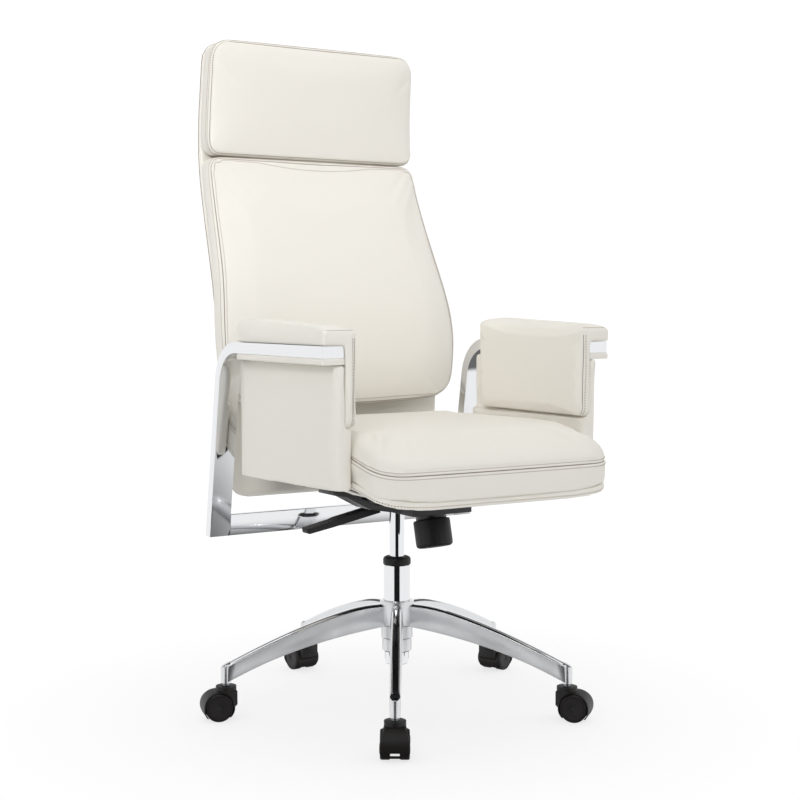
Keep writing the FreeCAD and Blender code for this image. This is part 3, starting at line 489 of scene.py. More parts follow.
def rim(low, high, corners, step):
    """Points round a rectangle with rounded corners, each with its outward direction."""
    near, far = corners
    turns = [((high[0] - near, low[1] + near), near, -90), ((high[0] - far, high[1] - far), far, 0),
             ((low[0] + far, high[1] - far), far, 90), ((low[0] + near, low[1] + near), near, 180)]
    spots = []
    for (centre, radius, start), (onward, far_radius, _) in zip(turns, turns[1:] + turns[:1]):
        count = max(2, round(radius * math.pi / 2 / step))
        for number in range(count + 1):
            angle = math.radians(start + 90 * number / count)
            out = Vector((math.cos(angle), math.sin(angle), 0))
            spots.append((Vector((*centre, 0)) + out * radius, out))
        begin, end = spots[-1][0], Vector((*onward, 0)) + out * far_radius
        count = max(1, round((end - begin).length / step))
        spots += [(begin.lerp(end, number / count), out) for number in range(1, count)]
    return spots


def cast(surface, rays, reach=0.08):
    """Where rays of (start, direction) meet a surface: points with their normals."""
    found = []
    for start, direction in rays:
        place, normal, _, _ = surface.ray_cast(start, direction, reach)
        if place is not None:
            found.append((place, normal))
    return found


def level_rays(spots, level, out_by=0.05):
    """Rays that run in towards a rim at a height, which may change from place to place."""
    rays = []
    for spot, out in spots:
        start = spot + out * out_by
        start.z = level(spot)
        rays.append((start, -out))
    return rays


SHORTEST, LONGEST = 0.2, 2.5    # gaps that take a stitch, in pitches


def sewn(bm, hits, closed=True):
    """Lays one stitch between each hit and the next."""
    sewing = bpy.context.scene.chair_upholstery
    pitch = sewing.stitch_pitch
    onward = hits[1:] + (hits[:1] if closed else [])
    for (here, normal), (there, _) in zip(hits, onward):
        along = there - here
        if not SHORTEST * pitch < along.length < LONGEST * pitch:
            continue
        run = along.normalized()
        across = normal.cross(run).normalized()
        turn = Matrix((run, across, run.cross(across))).transposed().to_4x4()
        shape = Matrix.Diagonal((sewing.stitch_length / 2, sewing.thread, sewing.thread, 1))
        place = Matrix.Translation((here + there) / 2 + normal * 0.25 * sewing.thread)
        bmesh.ops.create_icosphere(bm, subdivisions=1, radius=1, matrix=place @ turn @ shape)


WELT_SINK = 0.6     # how deep a welt lies in its seam, in radii


def cord_along(name, hits, radius, sink, closed=True):
    """A thin welt along a seam, sunk into it."""
    curve = bpy.data.curves.new(name, "CURVE")
    curve.dimensions = "3D"
    curve.bevel_depth = radius
    curve.bevel_resolution = 2
    curve.use_fill_caps = not closed
    spline = curve.splines.new("POLY")
    spline.points.add(len(hits) - 1)
    for point, (place, normal) in zip(spline.points, hits):
        point.co = (*(place - normal * sink), 1)
    spline.use_cyclic_u = closed
    path = bpy.data.objects.new(name + "_path", curve)
    bpy.context.scene.collection.objects.link(path)
    bpy.context.view_layer.update()
    depsgraph = bpy.context.evaluated_depsgraph_get()
    mesh = bpy.data.meshes.new_from_object(path.evaluated_get(depsgraph))
    bpy.data.objects.remove(path)
    bpy.data.curves.remove(curve)
    mesh.name = name
    mesh.shade_smooth()
    piece = bpy.data.objects.new(name, mesh)
    bpy.context.scene.collection.objects.link(piece)
    return piece


def laid(piece, place):
    """Moves a piece's points by a function of their array, where there is one."""
    if place is not None:
        set_points(piece, place(points_of(piece)))
    return piece


def sewing_on(name, welts, rows, place=None, closed=True):
    """The stitches of one pad as a piece, and each of its welts as another."""
    sewing = bpy.context.scene.chair_upholstery
    bm = bmesh.new()
    for hits in rows:
        sewn(bm, hits, closed)
    thread = laid(piece_from(bm, name + "_stitching"), place)
    fitted(thread, "upper", "cream_leather", "bonded_thread")
    for number, hits in enumerate(welts, start=1):
        # Each welt wears the dark seam leather, which is painted shade that draws the seam's shadow.
        cord = cord_along("%s_welt_%d" % (name, number), hits, sewing.welt, WELT_SINK * sewing.welt,
                          closed)
        fitted(laid(cord, place), "upper", "cream_leather", "seam_leather")


# ------------------------------------------------------------------ pads

def pad_blank(low, high, corners, edge, name, voxel):
    """A remeshed slab whose outline has rounded corners and whose top rim is eased."""
    bm = block(low, high)
    for end, radius in zip((low[1], high[1]), corners):
        upright = [edge for edge in bm.edges
                   if all(abs(vert.co.y - end) < SAME for vert in edge.verts)
                   and abs(edge.verts[0].co.z - edge.verts[1].co.z) > SAME]
        bevelled(bm, upright, radius, 10)
    top = [edge for edge in bm.edges if all(abs(vert.co.z - high[2]) < SAME for vert in edge.verts)]
    bevelled(bm, top, edge, 5)
    blank = piece_from(bm, name)
    remeshed(blank, voxel)
    return blank


def side_mask(points, low, high, corners, margin):
    """How far inside the rounded outline each point lies, as a share of a margin, 1 at the rim."""
    half = np.array([(high[0] - low[0]) / 2, (high[1] - low[1]) / 2])
    centre = np.array([(high[0] + low[0]) / 2, (high[1] + low[1]) / 2])
    radius = np.where(points[:, 1] < centre[1], corners[0], corners[1])[:, None]
    off = np.abs(points[:, :2] - centre) - half + radius
    outside = np.linalg.norm(np.maximum(off, 0), axis=1) + np.minimum(off.max(axis=1), 0)
    inside = radius[:, 0] - outside
    return np.clip(1 - inside / margin, 0, 1)


def sewn_pad(name, low, high, corners, edge, seam, cap, rows, place=None, shape=None):
    """A foam pad under leather with one sewn seam round it.

    The pad is made flat, from its back at low z to its face at high z; seam gives the seam's
    height from an array of points, rows how far each row of stitches lies from the seam, and
    place moves everything to where it belongs at the end."""
    sewing = bpy.context.scene.chair_upholstery
    pad = pad_blank(low, high, corners, edge, name, sewing.voxel)
    if shape is not None:
        laid(pad, shape)
    points = points_of(pad)
    away = np.abs(points[:, 2] - seam(points))
    at_rim = side_mask(points, low, high, corners, 0.02) > 0.3
    held = (points[:, 2] < low[2] + 2 * MM) | ((away < 3 * MM) & at_rim)
    swell(pad, held, cap)
    relaxed(pad, 2)
    refined(pad)

    def from_seam(points):
        far = side_mask(points, low, high, corners, 0.03) < 0.05
        return np.where(far, 1.0, points[:, 2] - seam(points))

    press_in(pad, from_seam, sewing.seam_depth, sewing.seam_width)
    surface = surface_of(pad)
    spots = rim(low, high, corners, sewing.stitch_pitch)

    def level(offset):
        return lambda spot: float(seam(np.array([spot]))[0]) + offset

    welts = [cast(surface, level_rays(spots, level(0)))]
    stitched = [cast(surface, level_rays(spots, level(offset))) for offset in rows]
    sewing_on(name, welts, stitched, place)
    return laid(pad, place)


def shell_line():
    """The shell's front face and half width at its heights, read from the CAD shell."""
    surface = BVHTree.FromPolygons([v.co for v in frame["nodes"]["back_shell"].data.vertices],
                                   [p.vertices for p in frame["nodes"]["back_shell"].data.polygons])
    low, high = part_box("back_shell")
    heights = np.linspace(low.z + 2 * MM, high.z - 2 * MM, 60)
    clear = 50 * MM     # of the rounded corners, where the half width would be too small

    def front_at(height):
        return surface.ray_cast(Vector((0, -1, height)), Vector((0, 1, 0)))[0].y

    faces, halves = [], []
    for height in heights:
        faces.append(front_at(height))
        inner = np.clip(height, low.z + clear, high.z - clear)
        start = Vector((1, front_at(inner) + 4 * MM, inner))
        halves.append(surface.ray_cast(start, Vector((-1, 0, 0)))[0].x)
    return heights, np.array(faces), np.array(halves)


HEIGHTS, FACES, HALVES = shell_line()
WIDEST = float(HALVES.max())


def onto_shell(points):
    """Takes a flat pad (across, up, forward) and bends it along the shell of the back."""
    up = np.clip(points[:, 1], HEIGHTS[0], HEIGHTS[-1])
    face = smoothed(HEIGHTS, FACES, up, 90 * MM)
    half = smoothed(HEIGHTS, HALVES, up, 120 * MM)
    return np.stack([points[:, 0] * half / WIDEST, face - points[:, 2], points[:, 1]], axis=1)


EDGE_BOW, EDGE_REACH = 12 * MM, 120 * MM        # of the back pad's lower edge at its sides
LOINS, LOIN_REACH, LOIN_SHARE = 125 * MM, 110 * MM, 0.036   # where, how far and how much fuller


def onto_lumbar(points):
    """Bends the back pad on to the shell, fuller at the loins and with a bowed lower edge."""
    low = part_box("back_cushion")[0].z
    points = points.copy()
    near = np.clip(1 - (points[:, 1] - low) / EDGE_REACH, 0, 1)
    points[:, 1] += EDGE_BOW * near * (points[:, 0] / WIDEST) ** 2
    points[:, 0] *= 1 + LOIN_SHARE * np.exp(-((points[:, 1] - low - LOINS) / LOIN_REACH) ** 2)
    return onto_shell(points)


def seat_seam(points):
    """The welt's height, which dips from the sides of the seat towards its front."""
    front, settled = -0.348, -0.215
    share = np.clip((points[:, 1] - front) / (settled - front), 0, 1)
    return 0.471 + 0.029 * share ** 1.3


# The top of the seat falls towards its front: distances back from the middle, and heights.
FALL_PLACES = (-0.36, -0.345, -0.325, -0.29, -0.23, -0.15, 0.2)
FALL_HEIGHTS = (0.488, 0.494, 0.503, 0.516, 0.529, 0.531, 0.529)
SEAT_BASE = 0.455       # the height below which the waterfall front doesn't change the block
SEAT_CROWN = 5 * MM     # what the foam adds on top


def seat_form(points):
    """Gives the seat's block its waterfall front, its bowed front edge and its raised foot."""
    low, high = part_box("seat_cushion")
    across, y, height = points.T
    fall = smoothed(FALL_PLACES, FALL_HEIGHTS, y, 30 * MM)
    stretch = (fall - SEAT_BASE) / (high.z - SEAT_CROWN - SEAT_BASE)
    fallen = np.where(height > SEAT_BASE, SEAT_BASE + (height - SEAT_BASE) * stretch, height)
    bow = 7 * MM * (across / high.x) ** 2 * np.clip((-0.1 - y) / 0.25, 0, 1)
    # The underside rises by this much at the sides, and less at the front.
    side = np.clip((np.abs(across) - 0.15) / (high.x - 0.15), 0, 1)
    rise = (0.459 - low.z) * side * np.clip((y + 0.348) / 0.115, 0.3, 1)
    depth = np.clip((SEAT_BASE - height) / (SEAT_BASE - low.z), 0, 1)
    return np.stack([across, y + bow, fallen + rise * depth], axis=1)


class CHAIR_OT_seat(bpy.types.Operator):
    """Makes the seat pad, its wrapped board and the felt under it"""
    bl_idname = "chair.seat"
    bl_label = "Seat"

    def execute(self, context):
        corners = (52 * MM, 36 * MM)
        low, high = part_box("seat_cushion")
        pad = sewn_pad("seat_pad", low, (high.x, high.y, high.z - SEAT_CROWN), corners, 22 * MM,
                       seat_seam, SEAT_CROWN, (5 * MM, -5 * MM), shape=seat_form)
        fitted(pad, "upper", "cream_leather", "cream_leather", "seat_cushion")

        board = piece_from(drawn_in(cad_copy("seat_board"), 0.985), "seat_board_wrap")
        remeshed(board, 4 * MM)
        relaxed(board, 6)
        fitted(board, "upper", "cream_leather", "cream_leather", "seat_board")
        surface = surface_of(board)
        low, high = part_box("seat_board")
        rays = []
        for spot, out in rim(low, high, corners, 1.2 * context.scene.chair_upholstery.stitch_pitch):
            above = Vector((spot.x, spot.y, 1)) - out * 9 * MM
            top = surface.ray_cast(above, Vector((0, 0, -1)))[0]
            level = (top.z if top else high.z) - 8 * MM
            rays += level_rays([(spot, out)], lambda _: level)
        sewing_on("seat_band", [], [cast(surface, rays)])

        felt = cad_copy("seat_board")
        rest = [face for face in felt.faces if face.normal.z >= -0.5]
        bmesh.ops.delete(felt, geom=rest, context="FACES")
        bmesh.ops.translate(felt, verts=felt.verts, vec=(0, 0, -0.5 * MM))
        drawn_in(felt, 0.95)
        bmesh.ops.solidify(felt, geom=felt.faces, thickness=0.6 * MM)
        fitted(piece_from(felt, "seat_under_felt"), "upper", "black_paint", "needle_felt")
        return {"FINISHED"}


def drawn_in(bm, share):
    """Shrinks a level piece of the seat towards the seat's middle."""
    middle = 84 * MM    # how far the seat's middle lies in front of the column
    bmesh.ops.scale(bm, verts=bm.verts, vec=(share, share, 1),
                    space=Matrix.Translation((0, middle, 0)))
    return bm


class CHAIR_OT_back(bpy.types.Operator):
    """Makes the wrapped shell, the back cushion and the headrest cushion"""
    bl_idname = "chair.back"
    bl_label = "Back"

    def execute(self, context):
        back_shell_wrap(context.scene.chair_upholstery.stitch_pitch)
        wide, depth = WIDEST + 1 * MM, 50 * MM
        for name, corners, rows, lie in (
                ("back_cushion", (45 * MM, 26 * MM), (-4.5 * MM, 4 * MM), onto_lumbar),
                ("headrest_cushion", (26 * MM, 38 * MM), (-5 * MM, -10 * MM), onto_shell)):
            low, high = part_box(name)
            pad = sewn_pad(name.replace("cushion", "pad"), (-wide, low.z, 0.6 * MM),
                           (wide, high.z, depth), corners, 9 * MM,
                           lambda points: np.full(len(points), depth - 7 * MM),
                           11 * MM, rows, lie)
            fitted(pad, "upper", "cream_leather", "cream_leather", name)
        return {"FINISHED"}


def back_shell_wrap(pitch):
    """The leather over the back's board, with a border seam and a level seam behind."""
    lowest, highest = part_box("back_shell")
    thick, corners, margin = 14 * MM, (36 * MM, 38 * MM), 20 * MM
    shell = pad_blank((-WIDEST, lowest.z, -thick), (WIDEST, highest.z, 0), corners, 4 * MM,
                      "back_shell_wrap", 6 * MM)
    relaxed(shell, 3)
    surface = surface_of(shell)

    def from_behind(spots):
        rays = [(Vector((x, y, -0.1)), Vector((0, 0, 1))) for x, y in spots]
        return cast(surface, rays, 0.2)

    edge = rim((-WIDEST, lowest.z), (WIDEST, highest.z), corners, pitch)
    border = rim((-WIDEST + margin, lowest.z + margin), (WIDEST - margin, highest.z - margin),
                 (30 * MM, 30 * MM), pitch)
    sewing_on("back_shell", [cast(surface, level_rays(edge, lambda _: -thick / 2))],
              [from_behind([(spot.x, spot.y) for spot, _ in border])], onto_shell)
    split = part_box("headrest_cushion")[0].z
    across = np.arange(-WIDEST + margin + 2 * MM, WIDEST - margin, pitch)
    seam, *rows = [from_behind([(x, split + off) for x in across])
                   for off in (0, -4 * MM, 4 * MM)]
    sewing_on("back_shell_seam", [seam], rows, onto_shell, closed=False)
    fitted(laid(shell, onto_shell), "upper", "shaded_leather", "cream_leather", "back_shell")


class CHAIR_OT_arms(bpy.types.Operator):
    """Makes the leather pads, panels and strips of both arms"""
    bl_idname = "chair.arms"
    bl_label = "Arm Upholstery"

    def execute(self, context):
        for side, sign in SIDES:
            arm_pad(side, sign)
            arm_panel(side)
            strip = cad_copy("arm_lip_" + side)
            ease_edges(strip, 3.2 * MM, 5)
            fitted(piece_from(strip, "arm_strip_" + side), "upper", "cream_leather",
                   "cream_leather", "arm_lip_" + side)
        return {"FINISHED"}


def arm_pad(side, sign):
    """The pad over the rail and its drop on the inner side, with one row of stitches."""
    low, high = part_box("arm_pad_" + side)
    pitch = bpy.context.scene.chair_upholstery.stitch_pitch
    inner, outer = sorted((abs(low.x), abs(high.x)))
    drop, corner = 21.5 * MM, 19 * MM
    rail_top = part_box("arm_frame_" + side)[1].z + 0.2 * MM
    bm = bmesh.new()
    section = [(inner, low.z), (inner + drop, low.z), (inner + drop, rail_top), (outer, rail_top),
               (outer, high.z), (inner, high.z)]
    start = bm.faces.new([bm.verts.new((x, low.y, z)) for x, z in section])
    grown = bmesh.ops.extrude_face_region(bm, geom=[start])["geom"]
    bmesh.ops.translate(bm, verts=[item for item in grown if isinstance(item, bmesh.types.BMVert)],
                        vec=(0, high.y - low.y, 0))
    bmesh.ops.recalc_face_normals(bm, faces=bm.faces)
    foot = [edge for edge in bm.edges if all(abs(v.co.z - low.z) < SAME for v in edge.verts)
            and abs(edge.verts[0].co.x - edge.verts[1].co.x) > SAME]
    bevelled(bm, foot, corner, 8)
    crown = [edge for edge in bm.edges if all(abs(v.co.z - high.z) < SAME for v in edge.verts)]
    bevelled(bm, crown, 13 * MM, 6)
    pad = piece_from(bm, "arm_pad_leather_" + side)
    remeshed(pad, 4 * MM)
    points = points_of(pad)
    slope = 12 * MM * np.clip((high.y - points[:, 1]) / (high.y - low.y), 0, 1)
    raised = np.clip((points[:, 2] - rail_top - 4 * MM) / (high.z - rail_top - 4 * MM), 0, 1)
    points[:, 2] -= slope * raised
    set_points(pad, points)
    on_panel = np.abs(points[:, 0] - inner - drop) < 1.5 * MM
    on_rail = np.abs(points[:, 2] - rail_top) < 2 * MM
    swell(pad, (on_panel | on_rail) & (points[:, 0] > inner + 2 * MM), 3 * MM)
    relaxed(pad, 2)
    points = points_of(pad)
    points[:, 0] = np.maximum(points[:, 0], inner - 2.5 * MM)
    set_points(pad, points)
    refined(pad)

    seam_x = inner + 6 * MM

    def turn(ray):
        """How far round the drop a ray starts: front top, down, under and up the rear."""
        middle = (low.y + high.y) / 2
        return math.atan2(ray[0].z - high.z, ray[0].y - middle) % (2 * math.pi)

    def ring(offset):
        """Rays on to the front, foot and rear of the drop at a distance from its inner face."""
        above = high.z + 0.3    # so that the ring's upper corners are out of the way
        rays = []
        for spot, out in rim((low.y, low.z), (high.y, above), (corner, 5 * MM), pitch):
            if spot.y < high.z - 24 * MM:
                start = spot + out * 50 * MM
                rays.append((Vector((seam_x + offset, start.x, start.y)),
                             Vector((0, -out.x, -out.y))))
        return sorted(rays, key=turn)

    def groove(points):
        near = np.abs(points[:, 0] - seam_x)
        return np.where(points[:, 2] < high.z - 22 * MM, near, 1.0)

    press_in(pad, groove, 1.2 * MM, 2.6 * MM)
    surface = surface_of(pad)
    # A row along the front end's crown, from the outer side in to the drop.
    front = [(Vector((x, low.y - 50 * MM, high.z - 15 * MM)), Vector((0, 1, 0)))
             for x in np.arange(outer - 4 * MM, seam_x, -pitch)]
    bm = bmesh.new()
    for rays in (front, ring(4 * MM)):
        sewn(bm, cast(surface, rays), False)
    thread = piece_from(bm, "arm_pad_%s_stitching" % side)
    welt = cord_along("arm_pad_%s_welt" % side, cast(surface, ring(0)), 0.9 * MM, 0.6 * MM, False)
    for part in (thread, welt, pad):
        mirrored(part, sign)
    fitted(thread, "upper", "cream_leather", "bonded_thread")
    # The welt's dark seam leather is painted shade for the shadow in the seam.
    fitted(welt, "upper", "cream_leather", "seam_leather")
    fitted(pad, "upper", "cream_leather", "cream_leather", "arm_pad_" + side)


def mirrored(piece, sign):
    """Puts a piece made for the left arm on the side of the sign."""
    if sign > 0:
        return
    bm = bmesh.new()
    bm.from_mesh(piece.data)
    bmesh.ops.scale(bm, vec=(-1, 1, 1), verts=bm.verts)
    bmesh.ops.reverse_faces(bm, faces=bm.faces)
    bm.to_mesh(piece.data)
    bm.free()
    piece.data.update()


def arm_panel(side):
    """The wrapped panel below the rail, swollen a little by the foam under its leather."""
    panel = piece_from(cad_copy("arm_panel_" + side), "arm_panel_leather_" + side)
    low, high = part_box("arm_panel_" + side)
    remeshed(panel, 4 * MM)
    points = points_of(panel)
    rim_held = (points[:, 2] > high.z - 3 * MM) | (points[:, 2] < low.z + 5 * MM)
    swell(panel, rim_held | (points[:, 1] > high.y - 4 * MM), 2 * MM)
    relaxed(panel, 4)
    points = points_of(panel)
    points[:, 0] = np.clip(points[:, 0], low.x - 1.5 * MM, high.x + 1.5 * MM)
    set_points(panel, points)
    fitted(panel, "upper", "cream_leather", "cream_leather", "arm_panel_" + side)


# ------------------------------------------------------------------ metal and plastic

class CHAIR_OT_arm_frames(bpy.types.Operator):
    """Makes the bent chrome tubes of the arms and the bar that joins them"""
    bl_idname = "chair.arm_frames"
    bl_label = "Arm Frames"

    def execute(self, context):
        metal = context.scene.chair_metalwork
        for side, _ in SIDES:
            tube = bent_tube("arm_frame_" + side, metal.chrome_edge)
            fitted(tube, "upper", "chrome", "plated_chrome", "arm_frame_" + side)
        bar = solid_skin("cross_bar")
        ease_edges(bar, metal.chrome_edge, 4)
        fitted(piece_from(bar, "chrome_cross_bar"), "upper", "chrome", "plated_chrome", "cross_bar")
        return {"FINISHED"}


def solid_skin(node):
    """The outer skin of a CAD tube, without its inner wall."""
    bm = cad_copy(node)
    left = set(bm.faces)
    shells = []
    while left:
        shell, waiting = set(), [left.pop()]
        while waiting:
            face = waiting.pop()
            shell.add(face)
            for edge in face.edges:
                for other in edge.link_faces:
                    if other in left:
                        left.discard(other)
                        waiting.append(other)
        shells.append(shell)

    def reach(shell):
        return max(vert.co.length for face in shell for vert in face.verts)

    outer = max(shells, key=reach)
    inner = [face for shell in shells if shell is not outer for face in shell]
    bmesh.ops.delete(bm, geom=inner, context="FACES")
    return bm


def bent_tube(node, radius):
    """The skin of a bent rectangular tube: one side face drawn out again, then eased."""
    low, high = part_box(node)
    skin = solid_skin(node)
    side = [face for face in skin.faces if abs(face.normal.x) > 0.99]
    keep = [face for face in side if face.calc_center_median().x > (low.x + high.x) / 2]
    bmesh.ops.delete(skin, geom=[face for face in skin.faces if face not in keep], context="FACES")
    bmesh.ops.dissolve_faces(skin, faces=skin.faces)
    for vert in skin.verts:
        vert.co.x = high.x
    bmesh.ops.remove_doubles(skin, verts=skin.verts, dist=0.05 * MM)
    grown = bmesh.ops.extrude_face_region(skin, geom=skin.faces[:], use_keep_orig=True)["geom"]
    bmesh.ops.translate(skin, verts=[item for item in grown if isinstance(item, bmesh.types.BMVert)],
                        vec=(low.x - high.x, 0, 0))
    bmesh.ops.recalc_face_normals(skin, faces=skin.faces)
    rims = [edge for edge in skin.edges if edge.is_manifold and edge.calc_face_angle(0) > 1.2]
    bevelled(skin, rims, radius, 4)
    return piece_from(skin, "chrome_" + node)


# The stations of a leg, in millimetres: reach, underside, top, half width below and above.
LEG = ((20, 151, 190, 13, 10), (60, 146, 191, 12, 9.6), (125, 134, 175.5, 11.5, 9.4),
       (190, 118, 154.5, 11, 9.2), (260, 95, 127, 10.2, 9), (321, 67.5, 99.4, 9.5, 9))
LEG_RINGS = 22
LEG_FALL = 0.48     # how steeply the top of a leg falls at its tip
LEG_CROWN = 3.6 * MM    # the chamfer along the top of a leg
TIP_RADIUS = 9.5 * MM


def leg_turn(number):
    """The turn about Z from +X to a leg, from its caster's joint."""
    x, y, _ = JOINTS["caster_swivel_%d" % number]["pos_m"]
    return Matrix.Rotation(math.atan2(y, x), 4, "Z")


def star_leg(bm, turn, reach, radius):
    """One arched leg with its upright tip, added to the base."""
    stations = np.array(LEG).T * MM
    places, unders, tops = stations[:3]
    leg = block((0, -1, -1), (1, 1, 1))
    along = [edge for edge in leg.edges if abs(edge.verts[0].co.x - edge.verts[1].co.x) > 0.5]
    bmesh.ops.subdivide_edges(leg, edges=along, cuts=LEG_RINGS - 2)
    for vert in leg.verts:
        at = places[0] + vert.co.x * (places[-1] - places[0])
        under, top, below, above = (smoothed(places, values, at, 70 * MM)
                                    for values in stations[1:])
        upper = vert.co.z > 0
        vert.co = (at, vert.co.y * (above if upper else below), top if upper else under)

    def in_crown(edge):
        return (edge.is_manifold and edge.calc_face_angle(0) > 1
                and all(vert.co.z > np.interp(vert.co.x, places, (unders + tops) / 2)
                        for vert in edge.verts))

    bevelled(leg, [edge for edge in leg.edges if in_crown(edge)], LEG_CROWN, 1)
    ease_edges(leg, 0.5 * radius, 2, 30)
    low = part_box("caster_stem_1")[1].z - 26 * MM
    top = 99.8 * MM
    tip = turned([(0, low), (TIP_RADIUS - 1.3 * MM, low), (TIP_RADIUS, low + 1.5 * MM),
                  (TIP_RADIUS, top - 2.3 * MM), (TIP_RADIUS - 0.9 * MM, top - 0.6 * MM), (0, top)],
                 steps=40)
    for vert in tip.verts:
        if vert.co.z > top - 10 * MM:
            vert.co.z -= LEG_FALL * vert.co.x
    bmesh.ops.translate(tip, verts=tip.verts, vec=(reach, 0, 0))
    for part in (leg, tip):
        bmesh.ops.transform(part, matrix=turn, verts=part.verts)
        spare = bpy.data.meshes.new("spare")
        part.to_mesh(spare)
        part.free()
        bm.from_mesh(spare)
        bpy.data.meshes.remove(spare)


class CHAIR_OT_base(bpy.types.Operator):
    """Makes the cast star base and the outer tube of the gas column"""
    bl_idname = "chair.base"
    bl_label = "Star Base and Column"

    def execute(self, context):
        metal = context.scene.chair_metalwork
        hub = [(25.05, 197), (31.5, 197), (31.5, 152), (29.2, 150.5), (29.2, 128), (27.2, 126.5),
               (27.2, 104), (25.4, 102), (25.05, 102)]
        bm = turned(in_mm(hub), steps=96, closed=True)
        ease_edges(bm, 0.9 * MM, 2, 50)
        for number in CASTERS:
            x, y, _ = JOINTS["caster_swivel_%d" % number]["pos_m"]
            star_leg(bm, leg_turn(number), math.hypot(x, y), metal.cast_edge)
        fitted(piece_from(bm, "star_base_casting", 28), "base", "base_metal", "buffed_aluminium",
               "star_base")

        low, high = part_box("outer_column")
        wide, rod_hole, taper = high.x, 6.2 * MM, 0.152
        tube = [(rod_hole, low.z), (wide - 3.4 * MM, low.z), (wide - 2.8 * MM, low.z + 0.8 * MM),
                (wide, taper), (wide, high.z - 1.2 * MM), (wide - 0.8 * MM, high.z),
                (wide - 2.5 * MM, high.z), (wide - 2.5 * MM, taper),
                (wide - 5.3 * MM, low.z + 4 * MM), (rod_hole, low.z + 4 * MM)]
        column = piece_from(turned(tube, steps=128, closed=True), "chrome_outer_tube", 30)
        fitted(column, "base", "column_chrome", "plated_chrome", "outer_column")

        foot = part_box("guide_bush")[0].z
        collar = [(14.06, 0), (22.4, 0), (22.4, 59), (25.2, 59), (25.7, 60.5), (25.7, 68),
                  (24.2, 71.5), (21, 73.2), (17, 74), (14.06, 74)]
        bush = turned(in_mm(collar, foot), steps=128, closed=True)
        fitted(piece_from(bush, "collar_bush", 25), "base", "black_plastic", "moulded_plastic",
               "guide_bush")

        low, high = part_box("pressure_tube")
        wide, rod_hole, pin_hole, ease = high.x, 5.2 * MM, 3.4 * MM, 1 * MM
        inner = [(rod_hole, low.z), (wide - ease, low.z), (wide, low.z + ease),
                 (wide, high.z - ease), (wide - ease, high.z), (pin_hole, high.z),
                 (pin_hole, low.z + 4 * MM)]
        tube = turned(inner, steps=96, closed=True)
        fitted(piece_from(tube, "chrome_inner_tube", 30), "mechanism", "column_chrome",
               "plated_chrome", "pressure_tube")
        return {"FINISHED"}


def round_hood(hood, number):
    """Draws a hood's flanks in at its shoulders and foot, so that they bulge beside the wheels."""
    axle = Vector(JOINTS["wheel_spin_%da" % number]["axis"]).normalized()
    middle = Vector(JOINTS["caster_swivel_%d" % number]["pos_m"])
    flank = 19.5 * MM                               # how far out the flanks begin
    shoulder_from, shoulder_rise, shoulder_in = 26 * MM, 27 * MM, 7 * MM
    foot_from, foot_fall, foot_in = 22 * MM, 15 * MM, 3.5 * MM
    for vert in hood.verts:
        off = (vert.co - middle).dot(axle)
        if abs(off) < flank:
            continue
        shoulder = max(0, (vert.co.z - shoulder_from) / shoulder_rise)
        foot = max(0, (foot_from - vert.co.z) / foot_fall)
        vert.co -= axle * math.copysign(shoulder_in * shoulder ** 2 + foot_in * foot ** 2, off)


class CHAIR_OT_casters(bpy.types.Operator):
    """Makes the hoods and wheels of the five casters"""
    bl_idname = "chair.casters"
    bl_label = "Casters"

    def execute(self, context):
        metal = context.scene.chair_metalwork
        # Radius and distance from the inner face: tread, rim lip, ring groove and dished face.
        section = [(4.1, 0.3), (22, 0.3), (24.2, 1), (25, 2.4), (25, 14.4), (24.4, 16), (23.2, 16.9),
                   (21.8, 17), (21.3, 16.1), (20.2, 16.1), (19.7, 16.8), (12, 16.9), (4.6, 16.2),
                   (4.1, 15.6)]
        for number in CASTERS:
            body = "caster_%d" % number
            hood = cad_copy("caster_hood_%d" % number)
            ease_edges(hood, metal.moulded_edge, 2, 38)
            round_hood(hood, number)
            fitted(piece_from(hood, "caster_hood_shell_%d" % number), body, "caster_nylon",
                   "glass_nylon", "caster_hood_%d" % number)
            for letter, way in (("a", 1), ("b", -1)):
                joint = JOINTS["wheel_spin_%d%s" % (number, letter)]
                axle = Vector(joint["axis"]).normalized() * way
                middle = Vector(joint["pos_m"]) + axle * 7.5 * MM
                wheel = turned(in_mm(section), along_axis(middle, axle), closed=True)
                fitted(piece_from(wheel, "caster_tyre_%d%s" % (number, letter), 25),
                       "wheel_%d%s" % (number, letter), "caster_nylon", "glass_nylon",
                       "caster_wheel_%d%s" % (number, letter))
        return {"FINISHED"}


